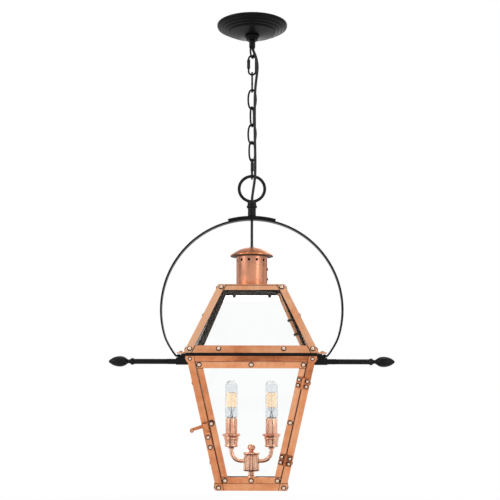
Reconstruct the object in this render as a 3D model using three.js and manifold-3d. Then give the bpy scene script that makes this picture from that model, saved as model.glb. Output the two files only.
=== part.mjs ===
// Four-sided copper lantern on an iron yoke, hung by a seven-link chain from a ceiling canopy.
// Millimetres, +Z up. The origin is the centre of the ceiling plane, the door faces -Y.
import * as THREE from 'three';
import { mergeVertices } from 'three/addons/utils/BufferGeometryUtils.js';
import Module from 'manifold-3d';

const wasm = await Module();
wasm.setup();

// ---------------------------------------------------------------- driving dimensions
const GAP = 0.3; // clearance between pieces that rest on each other

// lantern body: an inverted, tapered square box
const BODY_TOP_Z = -694, BODY_BOTTOM_Z = -947;
const BODY_TOP_HALF = 122, BODY_BOTTOM_HALF = 66;
const POST_LEG = 14, SHEET = 1.2;
const HEADER_BOTTOM_Z = -704, PAN_TOP_Z = -934;

// roof: a square pyramid frame
const ROOF_TOP_Z = -553, ROOF_BOTTOM_Z = -688;
const ROOF_TOP_HALF = 64.5, ROOF_BOTTOM_HALF = 127;
const HIP_LEG = 15, ROOF_RAIL = 11.3, EAVE_RAIL = 14;

// chimney
const CHIMNEY_R = 31.3, CAP_R = 43.5, CAP_RIM_Z = -490.5, CAP_TOP_Z = -472;
const VENT_R = 2.6, VENT_COUNT = 12;

// door
const DOOR_STILE = 12, DOOR_SHEET = 1.6, DOOR_TOP_Z = -705, DOOR_BOTTOM_Z = -933.2;
const DOOR_RAIL = 11.5, DOOR_PROUD = 1.0;
const HINGE_W = 3.2, HINGE_R = 2.9, HINGE_HEIGHT = 21, HINGE_UPPER_Z = -744, HINGE_LOWER_Z = -889;
const LATCH_X = -75, LATCH_Z = -819.3, LATCH_DROP_DEG = 19, LATCH_LENGTH = 43;

// yoke and arms
const HOOP_R = 184.5, HOOP_Z = -597, HOOP_THICK = 3.2, HOOP_WIDTH = 18;
const CROWN_THICK = 4.5, CROWN_HALF_DEG = 15;
const ARM_Z = -702.5, ARM_R = 5.2, ARM_START = 168.9, ARM_TIP = 286.5;

// suspension
const RING_R = 26.25, RING_WIRE = 3, RING_Z = -350.4;
const LINK_PITCH = 36.9, LINK_WIRE = 1.83, LINK_ARC = 7.42, CHAIN_TOP_Z = -69;
const LINK_GAP = 0.5, LINK_TURN_DEG = [0, 90, 0, 65, -9, 43, 94]; // each link's plane, from the X axis
const CANOPY_R = 73.5, CORD_R = 2.6, CORD_BORE = 4;

// light cluster
const CANDLE_X = 39.7, SLEEVE_R = 11.7, BULB_R = 12.3, BULB_TOP_Z = -740, SLEEVE_TOP_Z = -814.2;

// ---------------------------------------------------------------- helpers
const rad = THREE.MathUtils.degToRad;

// position-only geometry with shared vertices, no collapsed triangles, faces outward
function bare(geometry) {
  const g = geometry.clone();
  for (const name of Object.keys(g.attributes)) if (name !== 'position') g.deleteAttribute(name);
  g.clearGroups();
  const m = mergeVertices(g, 1e-4);
  const src = m.index.array, keep = [];
  for (let i = 0; i < src.length; i += 3) {
    const [a, b, c] = [src[i], src[i + 1], src[i + 2]];
    if (a !== b && b !== c && a !== c) keep.push(a, b, c);
  }
  const p = m.attributes.position, A = new THREE.Vector3(), B = new THREE.Vector3(), C = new THREE.Vector3();
  let six = 0;
  for (let i = 0; i < keep.length; i += 3) {
    A.fromBufferAttribute(p, keep[i]); B.fromBufferAttribute(p, keep[i + 1]); C.fromBufferAttribute(p, keep[i + 2]);
    six += A.dot(B.cross(C));
  }
  if (six < 0) for (let i = 0; i < keep.length; i += 3) [keep[i + 1], keep[i + 2]] = [keep[i + 2], keep[i + 1]];
  m.setIndex(keep);
  return m;
}

function solid(geometry) {
  const g = bare(geometry);
  return new wasm.Manifold(new wasm.Mesh({
    numProp: 3,
    vertProperties: new Float32Array(g.attributes.position.array),
    triVerts: new Uint32Array(g.index.array),
  }));
}

function shell(manifold) {
  const mesh = manifold.getMesh();
  const g = new THREE.BufferGeometry();
  const n = mesh.numProp, count = mesh.vertProperties.length / n, pos = new Float32Array(count * 3);
  for (let i = 0; i < count; i++) for (let k = 0; k < 3; k++) pos[3 * i + k] = mesh.vertProperties[n * i + k];
  g.setAttribute('position', new THREE.BufferAttribute(pos, 3));
  g.setIndex(Array.from(mesh.triVerts));
  return bare(g);
}

function cut(base, ...tools) {
  let m = solid(base);
  for (const t of tools) m = m.subtract(solid(t));
  return shell(m);
}

function join(...pieces) {
  let m = solid(pieces[0]);
  for (const t of pieces.slice(1)) m = m.add(solid(t));
  return shell(m);
}

function mapped(geometry, fn) {
  const g = geometry.clone(), p = g.attributes.position;
  for (let i = 0; i < p.count; i++) {
    const q = fn(p.getX(i), p.getY(i), p.getZ(i));
    p.setXYZ(i, q[0], q[1], q[2]);
  }
  return g;
}

// a flat outline raised by one unit, then mapped to its place: fn(u, v, t), t from 0 to 1
function prism(points, fn, holes = []) {
  const shape = new THREE.Shape(points.map(([x, y]) => new THREE.Vector2(x, y)));
  for (const h of holes) shape.holes.push(new THREE.Path(h.map(([x, y]) => new THREE.Vector2(x, y))));
  return mapped(new THREE.ExtrudeGeometry(shape, { depth: 1, steps: 1, bevelEnabled: false, curveSegments: 8 }), fn);
}

// profile of [radius, z] turned about Z
function turned(profile, segments) {
  const g = new THREE.LatheGeometry(profile.map(([r, z]) => new THREE.Vector2(r, z)), segments);
  return g.rotateX(Math.PI / 2);
}

// profile of [half width, z] carried round a square
function squared(profile) {
  const g = new THREE.LatheGeometry(profile.map(([r, z]) => new THREE.Vector2(r * Math.SQRT2, z)), 4, Math.PI / 4);
  return g.rotateX(Math.PI / 2);
}

const closed = (profile) => [...profile, profile[0]];

// round bar or bore along Z
function rod(r, z0, z1, segments, x = 0, y = 0) {
  return new THREE.CylinderGeometry(r, r, Math.abs(z1 - z0), segments)
    .rotateX(Math.PI / 2).translate(x, y, (z0 + z1) / 2);
}

function block(x0, x1, y0, y1, z0, z1) {
  return new THREE.BoxGeometry(x1 - x0, y1 - y0, z1 - z0).translate((x0 + x1) / 2, (y0 + y1) / 2, (z0 + z1) / 2);
}

// round wire along a closed path: a turned ring whose stations are moved onto the path
function closedWire(stations, wire, sides) {
  const profile = [];
  for (let j = 0; j <= sides; j++) {
    const a = (j / sides) * 2 * Math.PI;
    profile.push(new THREE.Vector2(50 + wire * Math.cos(a), wire * Math.sin(a)));
  }
  const n = stations.length;
  const g = new THREE.LatheGeometry(profile, n), p = g.attributes.position;
  for (let i = 0; i < p.count; i++) {
    const s = stations[Math.floor(i / (sides + 1)) % n], a = ((i % (sides + 1)) / sides) * 2 * Math.PI;
    const v = s.at.clone().addScaledVector(s.out, wire * Math.cos(a)).addScaledVector(s.side, wire * Math.sin(a));
    p.setXYZ(i, v.x, v.y, v.z);
  }
  return g;
}

// stations of a stadium-shaped link in a vertical plane turned `deg` from X, its middle at z
function stadium(arc, straight, deg, z, perArc) {
  const along = new THREE.Vector3(Math.cos(rad(deg)), Math.sin(rad(deg)), 0);
  const side = new THREE.Vector3(-Math.sin(rad(deg)), Math.cos(rad(deg)), 0), up = new THREE.Vector3(0, 0, 1);
  const out = [];
  for (const half of [0, 1]) {
    for (let i = 0; i <= perArc; i++) {
      const a = Math.PI * (half + i / perArc);
      const dir = along.clone().multiplyScalar(Math.cos(a)).addScaledVector(up, Math.sin(a));
      const centre = z + (half ? -straight / 2 : straight / 2);
      out.push({ at: dir.clone().multiplyScalar(arc).add(new THREE.Vector3(0, 0, centre)), out: dir, side });
    }
  }
  return out;
}

// ---------------------------------------------------------------- shapes of the box and the roof
const BODY_SLOPE = (BODY_TOP_HALF - BODY_BOTTOM_HALF) / (BODY_TOP_Z - BODY_BOTTOM_Z);
const body = (z) => BODY_TOP_HALF - BODY_SLOPE * (BODY_TOP_Z - z);
const ROOF_SLOPE = (ROOF_BOTTOM_HALF - ROOF_TOP_HALF) / (ROOF_TOP_Z - ROOF_BOTTOM_Z);
const roof = (z) => ROOF_TOP_HALF + ROOF_SLOPE * (ROOF_TOP_Z - z);

// a point of the sloping front: x, height z on the outer skin, and w proud of it
const SLOPE_LEN = Math.hypot(1, BODY_SLOPE);
const FRONT_N = new THREE.Vector3(0, -1 / SLOPE_LEN, -BODY_SLOPE / SLOPE_LEN);
const front = (x, z, w) => [x, -body(z) + FRONT_N.y * w, z + FRONT_N.z * w];

// ---------------------------------------------------------------- materials
const mat = (color, roughness, metalness, extra = {}) =>
  new THREE.MeshStandardMaterial({ color, roughness, metalness, ...extra });
const COPPER = () => mat(0xc98356, 0.38, 0.9);
const IRON = () => mat(0x232326, 0.5, 0.7);
const GLASS = () => mat(0xf4f8fa, 0.05, 0.0, { transparent: true, opacity: 0.2 });
const ANTIQUE = () => mat(0xb27c5f, 0.42, 0.85);
const BLACK = () => mat(0x161616, 0.6, 0.0);

const lantern = new THREE.Group();
function add(name, geometry, material, parent = lantern) {
  const mesh = new THREE.Mesh(bare(geometry), material);
  mesh.name = name;
  parent.add(mesh);
  return mesh;
}

// ================================================================ ceiling set
add('ceiling_crossbar', cut(block(-56, 56, -11, 11, -2.5, 0), rod(5.2, -4, 2, 16)), mat(0x9a9a98, 0.45, 0.9));

add('canopy', turned(closed([
  [CANOPY_R, -0.1], [CANOPY_R, -3.2], [71.2, -6], [66.5, -7.6], [64.6, -9.6], [58.6, -11.2], [56.8, -13.4],
  [51, -15.2], [48.6, -17.6], [46, -18.4], [34, -20.6], [16.5, -23.2], [5.3, -23.4],
  [5.3, -22.2], [16, -22], [33.5, -19.4], [45.6, -17.2], [48, -16.4], [50.4, -14],
  [56.2, -12.2], [58, -10], [64, -8.4], [65.9, -6.4], [70.4, -4.8], [72.3, -2.6], [72.3, -0.1],
]), 32), IRON());

add('canopy_collar_nut', turned(closed([
  [5.1, -23.8], [15.2, -23.8], [15.6, -26.6], [13.4, -29.6], [11.2, -31], [11.2, -34], [5.1, -34],
]), 20), IRON());

{ // hollow threaded stud, neck and hanging loop in one forging
  const loop = closedWire(stadium(10.6, 2.95, 71, -59.075, 6), 2, 8);
  const stem = turned([[0, -1], [4.7, -1], [4.7, -34.3], [6.5, -34.3], [6.5, -49], [5.2, -51.2], [0, -51.2]], 16);
  add('canopy_loop', cut(join(stem, loop), rod(3.5, -54, 1, 14), rod(4.8, -54, -45, 14)), IRON());
}

// ================================================================ chain
const linkNames = ['quick_link_top', 'chain_link_2', 'chain_link_3', 'chain_link_4', 'chain_link_5', 'chain_link_6', 'quick_link_bottom'];
linkNames.forEach((name, k) => {
  const mid = CHAIN_TOP_Z - LINK_PITCH * (k + 0.5);
  const straight = LINK_PITCH + LINK_GAP + 2 * LINK_WIRE - 2 * LINK_ARC;
  add(name, closedWire(stadium(LINK_ARC, straight, LINK_TURN_DEG[k], mid, 6), LINK_WIRE, 8), IRON());
});

function quickNut(name, side, k, z0, z1) {
  const d = new THREE.Vector3(Math.cos(rad(LINK_TURN_DEG[k])), Math.sin(rad(LINK_TURN_DEG[k])), 0).multiplyScalar(side * LINK_ARC);
  add(name, turned(closed([
    [2.15, z0], [2.9, z0], [3.5, z0 + 1.2], [3.5, z1 - 1.2], [2.9, z1], [2.15, z1],
  ]), 10).translate(d.x, d.y, 0), IRON());
}
quickNut('quick_link_top_nut', -1, 0, -94.6, -75.6);
quickNut('quick_link_bottom_nut', -1, 6, -315, -296.2);

// ================================================================ supply cord
const cordPoints = [
  [0, 0, -1.5], [0, 0, -14], [0, 0, -28], [0, 0, -40], [0.3, -0.2, -48], [1.9, -1.4, -55], [4.9, -3.4, -63], [8.1, -5.3, -72.5], [10.4, -6.0, -84],
  [11.1, -5.8, -96], [9.8, -5.5, -110], [7.8, -5.4, -127], [6.3, -5.4, -145], [5.6, -5.5, -166], [5.5, -5.6, -194], [5.6, -5.8, -222],
  [5.9, -5.8, -245], [6.4, -5.7, -268], [6.8, -6.0, -296], [6.6, -6.5, -318], [5.6, -5.8, -333], [3.2, -3.4, -350],
  [1.0, -1.0, -365], [0, 0, -379], [0, 0, -395], [0, 0, -414], [0, 0, -440], [0, 0, -470], [0, 0, -500], [0, 0, -525],
];
{ // quarter bend under the roof plate, towards the rear right hip
  const R = 24, zc = -533.8;
  for (let i = 0; i <= 5; i++) {
    const a = (i / 5) * Math.PI / 2, lateral = R * (1 - Math.cos(a)) * Math.SQRT1_2;
    cordPoints.push([lateral, lateral, zc - R * Math.sin(a)]);
  }
  cordPoints.push([29, 29, zc - R], [41, 41, zc - R], [50, 50, zc - R]);
}
{
  const path = new THREE.CatmullRomCurve3(cordPoints.map((p) => new THREE.Vector3(...p)), false, 'centripetal');
  const ring = [];
  for (let i = 0; i < 8; i++) ring.push(new THREE.Vector2(CORD_R * Math.cos((i + 0.5) * Math.PI / 4), CORD_R * Math.sin((i + 0.5) * Math.PI / 4)));
  add('supply_cord', new THREE.ExtrudeGeometry(new THREE.Shape(ring), { steps: 60, extrudePath: path, bevelEnabled: false }), BLACK());
}

// ================================================================ ring, coupler, yoke
{
  const wire = [];
  for (let j = 0; j <= 8; j++) wire.push([RING_R + RING_WIRE * Math.cos(j * Math.PI / 4), RING_WIRE * Math.sin(j * Math.PI / 4)]);
  const ring = turned(wire, 28).rotateX(Math.PI / 2).translate(0, 0, RING_Z);
  const neck = turned([[0, -385], [9.1, -385], [9.1, -378], [5.6, -375.2], [0, -375.2]], 18);
  add('hanging_ring', cut(join(ring, neck), rod(CORD_BORE, -390, -366, 12)), IRON());
}
add('stem_coupler', turned(closed([
  [CORD_BORE, -385.3], [10, -385.3], [10.7, -386.4], [10.7, -389.2], [10, -390.4], [8.3, -390.6], [8.3, -407.2], [CORD_BORE, -407.2],
]), 18), IRON());

function strap(points, thick, width) { // flat bar on edge along [x, z] points, centred on y = 0
  const left = [], right = [];
  points.forEach(([x, z], i) => {
    const [ax, az] = points[Math.max(i - 1, 0)], [bx, bz] = points[Math.min(i + 1, points.length - 1)];
    const l = Math.hypot(bx - ax, bz - az), nx = -(bz - az) / l, nz = (bx - ax) / l;
    left.push([x + nx * thick / 2, z + nz * thick / 2]);
    right.push([x - nx * thick / 2, z - nz * thick / 2]);
  });
  return prism([...left, ...right.reverse()], (u, v, t) => [u, width * (t - 0.5), v]);
}
{
  const r = HOOP_R + GAP + CROWN_THICK / 2, pts = [];
  for (let i = 0; i <= 12; i++) {
    const a = rad(CROWN_HALF_DEG * (i / 6 - 1));
    pts.push([r * Math.sin(a), HOOP_Z + r * Math.cos(a)]);
  }
  add('crown_plate', cut(strap(pts, CROWN_THICK, HOOP_WIDTH), rod(CORD_BORE, -420, -400, 12)), IRON());
}
{
  const r = HOOP_R - HOOP_THICK / 2, half = [], end = 106.8;
  for (let i = 0; i <= 22; i++) {
    const a = rad(end * i / 22);
    half.push([r * Math.sin(a), HOOP_Z + r * Math.cos(a)]);
  }
  const [ex, ez] = half[half.length - 1];
  const bend = new THREE.CubicBezierCurve(
    new THREE.Vector2(ex, ez), new THREE.Vector2(ex - 4, ez - 13.5), new THREE.Vector2(161.5, -678), new THREE.Vector2(154.2, -688));
  for (const p of bend.getPoints(5).slice(1)) half.push([p.x, p.y]);
  half.push([151.9, -690.6], [148.8, -692.2], [145.5, -692.6], [138, -692.6]);
  const all = [...half.slice(1).reverse().map(([x, z]) => [-x, z]), ...half];
  add('yoke_hoop', cut(strap(all, HOOP_THICK, HOOP_WIDTH), rod(CORD_BORE, -425, -405, 12)), IRON());
}
for (const [side, s] of [['left', -1], ['right', 1]]) {
  const turn = (g) => (s < 0 ? g.rotateZ(Math.PI) : g);
  // angle block bolted to the header, with the square stub that takes the arm
  add(`arm_bracket_${side}`, join(
    turn(block(124, 151, -9, 9, -709, -694.5)),
    turn(block(129.4, 136.6, -6.5, 6.5, -695.5, -686.9)),
    turn(block(150, 168.6, -5.3, 5.3, ARM_Z - 5.3, ARM_Z + 5.3)),
  ), IRON());
  // round arm with bead, neck and acorn tip
  const profile = [[0, ARM_START], [ARM_R, ARM_START], [ARM_R, 233.5], [5.6, 236], [7.0, 239], [5.2, 241.8], [3.7, 244.5], [4.1, 247.5],
    [6.6, 250.5], [9.4, 255.5], [10.5, 262], [10.3, 269], [8.2, 276.5], [4.7, 282.5], [1.8, 285.6], [0, ARM_TIP]];
  const arm = turned(profile, 12).rotateY(Math.PI / 2).translate(0, 0, ARM_Z);
  add(`side_arm_${side}`, turn(arm), IRON());
}

// ================================================================ chimney and roof
add('chimney_cap', turned(closed([
  [CORD_BORE, CAP_TOP_Z], [12, CAP_TOP_Z - 0.8], [24, CAP_TOP_Z - 4], [33, CAP_TOP_Z - 8.4], [40, CAP_TOP_Z - 13.2], [CAP_R, CAP_TOP_Z - 16.4],
  [CAP_R, CAP_RIM_Z], [CAP_R - 1.2, CAP_RIM_Z], [CAP_R - 1.2, CAP_TOP_Z - 16.8], [39, CAP_TOP_Z - 14.2], [32.4, CAP_TOP_Z - 9.6],
  [23.6, CAP_TOP_Z - 5.2], [12, CAP_TOP_Z - 2.1], [CORD_BORE, CAP_TOP_Z - 1.3],
]), 32), COPPER());
{
  const vents = [];
  for (let i = 0; i < VENT_COUNT; i++) {
    const a = rad(-10 + 90 - 90 + i * 360 / VENT_COUNT);
    const dir = new THREE.Vector3(Math.sin(a), -Math.cos(a), 0);
    const g = new THREE.CylinderGeometry(VENT_R, VENT_R, 8, 8);
    g.applyQuaternion(new THREE.Quaternion().setFromUnitVectors(new THREE.Vector3(0, 1, 0), dir));
    vents.push(g.translate(dir.x * CHIMNEY_R, dir.y * CHIMNEY_R, -499.6));
  }
  add('chimney', cut(turned(closed([
    [CHIMNEY_R, ROOF_TOP_Z + GAP], [CHIMNEY_R, -490.2], [CAP_R - 1.6, -490.2], [CAP_R - 1.6, -489.2], [CHIMNEY_R - 1, -489.2], [CHIMNEY_R - 1, ROOF_TOP_Z + GAP],
  ]), 36), ...vents), COPPER());
}
add('roof_top_plate', cut(squared([
  [0, ROOF_TOP_Z], [ROOF_TOP_HALF + 0.6, ROOF_TOP_Z], [ROOF_TOP_HALF + 0.6, -554.2], [roof(-554.2) - 1.5, -554.2],
  [roof(ROOF_TOP_Z - ROOF_RAIL) - 1.5, ROOF_TOP_Z - ROOF_RAIL], [roof(ROOF_TOP_Z - ROOF_RAIL) - 2.7, ROOF_TOP_Z - ROOF_RAIL],
  [roof(-554.2) - 2.7, -554.2], [0, -554.2],
]), rod(29, -560, -545, 24)), COPPER());

{
  const top = ROOF_BOTTOM_Z + EAVE_RAIL, lip = ROOF_BOTTOM_Z + SHEET;
  const ring = squared(closed([
    [roof(top) - 1.5, top], [roof(lip) - 1.5, lip], [roof(lip) + 0.9, lip], [ROOF_BOTTOM_HALF + 0.7, ROOF_BOTTOM_Z],
    [112, ROOF_BOTTOM_Z], [112, lip], [roof(lip) - 2.7, lip], [roof(top) - 2.7, top],
  ]));
  add('roof_eave', join(ring, block(124.2, 150, -7, 7, -686.5, -683.9), block(-150, -124.2, -7, 7, -686.5, -683.9)), COPPER());
}

// L-shaped strip along a corner of a tapering square: half(z) is its outer half width
function corner(half, leg, thick, z0, z1, sx, sy) {
  const L = [[0, 0], [leg, 0], [leg, thick], [thick, thick], [thick, leg], [0, leg]];
  return prism(L, (u, v, t) => {
    const z = z0 + (z1 - z0) * t;
    return [sx * (half(z) - u), sy * (half(z) - v), z];
  });
}
const corners = [['front_left', -1, -1], ['front_right', 1, -1], ['rear_left', -1, 1], ['rear_right', 1, 1]];
for (const [name, sx, sy] of corners)
  add(`roof_hip_${name}`, corner(roof, HIP_LEG, SHEET, -554.5, -686.5, sx, sy), COPPER());

// pane parallel to one side of a tapering square
function pane(half, out, thick, edge, z0, z1, turns) {
  return prism([[-1, 0], [1, 0], [1, 1], [-1, 1]], (u, v, t) => {
    const z = z0 + (z1 - z0) * v;
    return [u * (half(z) - edge), -(half(z) - out - thick * t), z];
  }).rotateZ(turns * Math.PI / 2);
}
for (const [name, turns] of [['front', 0], ['right', 1], ['rear', 2], ['left', 3]])
  add(`roof_glass_${name}`, pane(roof, 3.0, 2.6, 6.1, -686.2, -555, turns), GLASS());

// ================================================================ body cage
add('header_rail', squared(closed([
  [BODY_TOP_HALF + 1.5, BODY_TOP_Z], [body(HEADER_BOTTOM_Z) + 1.5, HEADER_BOTTOM_Z], [body(HEADER_BOTTOM_Z) + GAP, HEADER_BOTTOM_Z],
  [body(-695.2) + GAP, -695.2], [115.5, -695.2], [115.5, -688.4], [117.5, -688.4], [117.5, BODY_TOP_Z],
])), COPPER());
for (const [name, sx, sy] of corners)
  add(`corner_post_${name}`, corner(body, POST_LEG, SHEET, -695.5, -945.5, sx, sy), COPPER());
add('base_pan', cut(squared([
  [0, BODY_BOTTOM_Z], [BODY_BOTTOM_HALF + 1.5, BODY_BOTTOM_Z], [body(PAN_TOP_Z) + 1.5, PAN_TOP_Z], [body(PAN_TOP_Z) + GAP, PAN_TOP_Z],
  [body(-945.8) + GAP, -945.8], [0, -945.8],
]), rod(5.2, -950, -940, 16)), COPPER());
for (const [name, turns] of [['right', 1], ['rear', 2], ['left', 3]])
  add(`side_glass_${name}`, pane(body, 1.5, 2.6, 4.6, -945.3, -695.9, turns), GLASS());

// ================================================================ door
const doorHalf = (z) => body(z) - POST_LEG - 0.8;
const plate = (outline, w0, w1, holes) => prism(outline, (x, z, t) => front(x, z, w0 + (w1 - w0) * t), holes);
const trapezoid = (inset, z0, z1) => [[-(doorHalf(z0) - inset), z0], [doorHalf(z0) - inset, z0], [doorHalf(z1) - inset, z1], [-(doorHalf(z1) - inset), z1]];
add('door_frame', join(
  plate(trapezoid(0, DOOR_BOTTOM_Z, DOOR_TOP_Z), -DOOR_SHEET, 0, [trapezoid(DOOR_STILE, DOOR_BOTTOM_Z + 10, DOOR_TOP_Z - 10)]),
  plate(trapezoid(0.3, DOOR_TOP_Z - DOOR_RAIL, DOOR_TOP_Z - 0.2), -0.6, DOOR_PROUD),
  plate(trapezoid(0.3, DOOR_BOTTOM_Z + 0.2, DOOR_BOTTOM_Z + DOOR_RAIL), -0.6, DOOR_PROUD),
), COPPER());
add('door_glass', plate(trapezoid(4, DOOR_BOTTOM_Z + 4, DOOR_TOP_Z - 4), -DOOR_SHEET - GAP - 2.4, -DOOR_SHEET - GAP), GLASS());

// hinges on the right: knuckles on a line just proud of the gap between door and post
const hingeAt = (z) => new THREE.Vector3(...front(body(z) - POST_LEG - 0.4, z, HINGE_W));
const HINGE_DIR = hingeAt(-700).sub(hingeAt(-900)).normalize();
function hingePlace(z) {
  const zAxis = HINGE_DIR.clone(), yAxis = FRONT_N.clone().negate(), xAxis = new THREE.Vector3().crossVectors(yAxis, zAxis);
  return new THREE.Matrix4().makeBasis(xAxis, yAxis, zAxis).setPosition(hingeAt(z));
}
for (const [name, z] of [['upper', HINGE_UPPER_Z], ['lower', HINGE_LOWER_Z]]) {
  const h = HINGE_HEIGHT / 2, y0 = HINGE_W - 1.5, y1 = HINGE_W - 0.3, place = hingePlace(z);
  const frameLeaf = join(
    block(3.3, 12.6, y0, y1, -h, h), block(0, 4, y0, y1, -h, -3.7), block(0, 4, y0, y1, 3.7, h),
    rod(HINGE_R, -h, -3.7, 14), rod(HINGE_R, 3.7, h, 14), rod(1.2, -h, h, 10));
  const doorLeaf = join(block(-12, -3.3, y0, y1, -h, h), block(-4, 0, y0, y1, -3.4, 3.4), rod(HINGE_R, -3.4, 3.4, 14));
  add(`hinge_leaf_${name}_frame`, frameLeaf.applyMatrix4(place), COPPER());
  add(`hinge_leaf_${name}_door`, cut(doorLeaf, rod(1.6, -4, 4, 12)).applyMatrix4(place), COPPER());
}

{ // drop latch: a pivoted lever that lies in an open-topped keeper on the left post
  const a = rad(180 + LATCH_DROP_DEG), dx = Math.cos(a), dz = Math.sin(a);
  const at = (l, s) => [LATCH_X + dx * l - dz * s, LATCH_Z + (dz * l + dx * s) / 1.024];
  const bar = plate([at(-3, 4.2), at(3, 4.4), at(LATCH_LENGTH, 2.6), at(LATCH_LENGTH, -2.6), at(3, -4.4), at(-3, -4.2)].reverse(), 1.3, 3.2);
  const ringOf = (cx, r, n) => Array.from({ length: n }, (_, i) => {
    const t = (i / n) * 2 * Math.PI, [x, z] = at(cx, 0);
    return [x + r * Math.cos(t), z + r * Math.sin(t)];
  });
  add('latch_lever', join(bar, plate(ringOf(0, 3, 12), 0.3, 3), plate(ringOf(0, 5.6, 16), 3, 5.4), plate(ringOf(LATCH_LENGTH, 4.6, 12), 0.9, 3.6)), COPPER());
  const keeper = [[-871, 0.3], [-836, 0.3], [-831, 3.9], [-819.5, 3.9], [-819.5, 5.1], [-831.5, 5.1], [-836.5, 1.5], [-871, 1.5]];
  add('latch_keeper', prism(keeper, (z, w, t) => front(-(body(z) - POST_LEG / 2) - 5 + 10 * t, z, w)), COPPER());
}

// ================================================================ light cluster
{
  const column = turned([
    [0, -946.8], [4.6, -946.8], [4.6, -945.3], [22, -945.3], [22, -943.4], [19, -942], [7.5, -940], [5.5, -937], [5.5, -931], [8.6, -929.4], [8.6, -926], [5.5, -924.4],
    [5.5, -917], [13.6, -916.6], [15.8, -915.8], [16, -913.4], [15.3, -900], [14.6, -890], [14, -884.5], [16.2, -883], [16.2, -880.4], [12, -879.4], [5, -878.6], [4.4, -876.4],
    [7.2, -873.8], [7.7, -871.4], [6.4, -867.6], [3.4, -865.2], [0, -864.4]], 20);
  const section = new THREE.Shape(Array.from({ length: 10 }, (_, i) => new THREE.Vector2(3.9 * Math.cos(i * Math.PI / 5), 3.9 * Math.sin(i * Math.PI / 5))));
  const arms = [-1, 1].map((s) => {
    const path = new THREE.CatmullRomCurve3([[CANDLE_X, -866.6], [CANDLE_X, -874], [38.9, -882], [35.2, -890.5], [28.6, -895.6], [20, -897], [9, -897]]
      .map(([x, z]) => new THREE.Vector3(s * x, 0, z)), false, 'centripetal');
    return new THREE.ExtrudeGeometry(section, { steps: 14, extrudePath: path, bevelEnabled: false });
  });
  add('cluster_body', join(column, ...arms), ANTIQUE());
}
for (const [side, s] of [['left', -1], ['right', 1]]) {
  const x = s * CANDLE_X;
  add(`candle_cup_${side}`, turned(closed([
    [4.4, -870.5], [9.6, -870], [13.3, -866], [14.1, -858], [14.3, -852], [16.4, -849.6], [18.2, -847.6], [18.2, -844.6],
    [17, -844.6], [16.8, -847], [15, -848.6], [13, -851], [12.6, -863.5], [11.2, -866.4], [4.4, -867.2],
  ]), 20).translate(x, 0, 0), ANTIQUE());
  add(`candle_sleeve_${side}`, turned(closed([
    [SLEEVE_R, -862.8], [SLEEVE_R, SLEEVE_TOP_Z], [SLEEVE_R - 1, SLEEVE_TOP_Z], [SLEEVE_R - 1, -862.8],
  ]), 20).translate(x, 0, 0), ANTIQUE());
  add(`lamp_socket_${side}`, turned([
    [0, -863.8], [10.2, -863.8], [10.2, -816], [6.7, -816], [6.7, -842], [0, -842],
  ], 16).translate(x, 0, 0), BLACK());
  add(`bulb_${side}`, turned([
    [0, -841], [2.2, -840.6], [4.6, -838.4], [5.9, -837], [5.9, -814.6], [8, -813.9], [BULB_R - 0.6, -813], [BULB_R, -811], [BULB_R, BULB_TOP_Z - 9],
    [10.9, BULB_TOP_Z - 4.6], [7.4, BULB_TOP_Z - 1.4], [3.4, BULB_TOP_Z - 0.2], [0, BULB_TOP_Z],
  ], 16).translate(x, 0, 0), GLASS());
}

export default lantern;
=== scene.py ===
"""Looks for the hanging copper lantern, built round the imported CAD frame. Lengths are metres in the row frame;
the tables below are written in millimetres and scaled by MM."""
import math

import bmesh
import bpy
import numpy as np
from mathutils import Matrix, Vector


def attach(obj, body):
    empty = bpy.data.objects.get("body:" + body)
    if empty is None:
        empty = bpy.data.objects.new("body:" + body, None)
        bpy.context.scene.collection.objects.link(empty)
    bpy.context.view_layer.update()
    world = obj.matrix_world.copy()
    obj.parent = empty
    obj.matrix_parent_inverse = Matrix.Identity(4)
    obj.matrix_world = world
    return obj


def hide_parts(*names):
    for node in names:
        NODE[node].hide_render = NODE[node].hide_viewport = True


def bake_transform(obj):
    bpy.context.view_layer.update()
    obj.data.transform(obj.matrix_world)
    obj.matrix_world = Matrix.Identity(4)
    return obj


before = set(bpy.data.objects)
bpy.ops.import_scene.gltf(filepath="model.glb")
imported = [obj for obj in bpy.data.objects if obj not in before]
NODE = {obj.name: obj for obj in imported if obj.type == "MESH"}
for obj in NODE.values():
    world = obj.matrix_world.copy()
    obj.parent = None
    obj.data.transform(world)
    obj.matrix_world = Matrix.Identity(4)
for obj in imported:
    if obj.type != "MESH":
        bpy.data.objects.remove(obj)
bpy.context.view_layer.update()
MM = 0.001
scene = bpy.context.scene


# ------------------------------------------------------------------ camera
def make_camera():
    yaw, pitch, roll = math.radians(-0.5), math.radians(7.64), 0.0022
    back = Vector((-math.sin(yaw), -math.cos(yaw), 0))
    right = Vector((math.cos(yaw), -math.sin(yaw), 0))
    eye = back * 1.894 - right * 0.0037 + Vector((0, 0, -0.731))
    look = -back * math.cos(pitch) + Vector((0, 0, math.sin(pitch)))
    up = right.cross(look)
    r = (right + up * roll).normalized()
    u = r.cross(look)
    data = bpy.data.cameras.new("camera")
    data.lens, data.sensor_width = 67.61, 36
    data.clip_start, data.clip_end = 0.05, 60
    cam = bpy.data.objects.new("camera", data)
    scene.collection.objects.link(cam)
    m = Matrix((r, u, -look)).transposed().to_4x4()
    m.translation = eye
    cam.matrix_world = m
    scene.camera = cam


make_camera()


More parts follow.
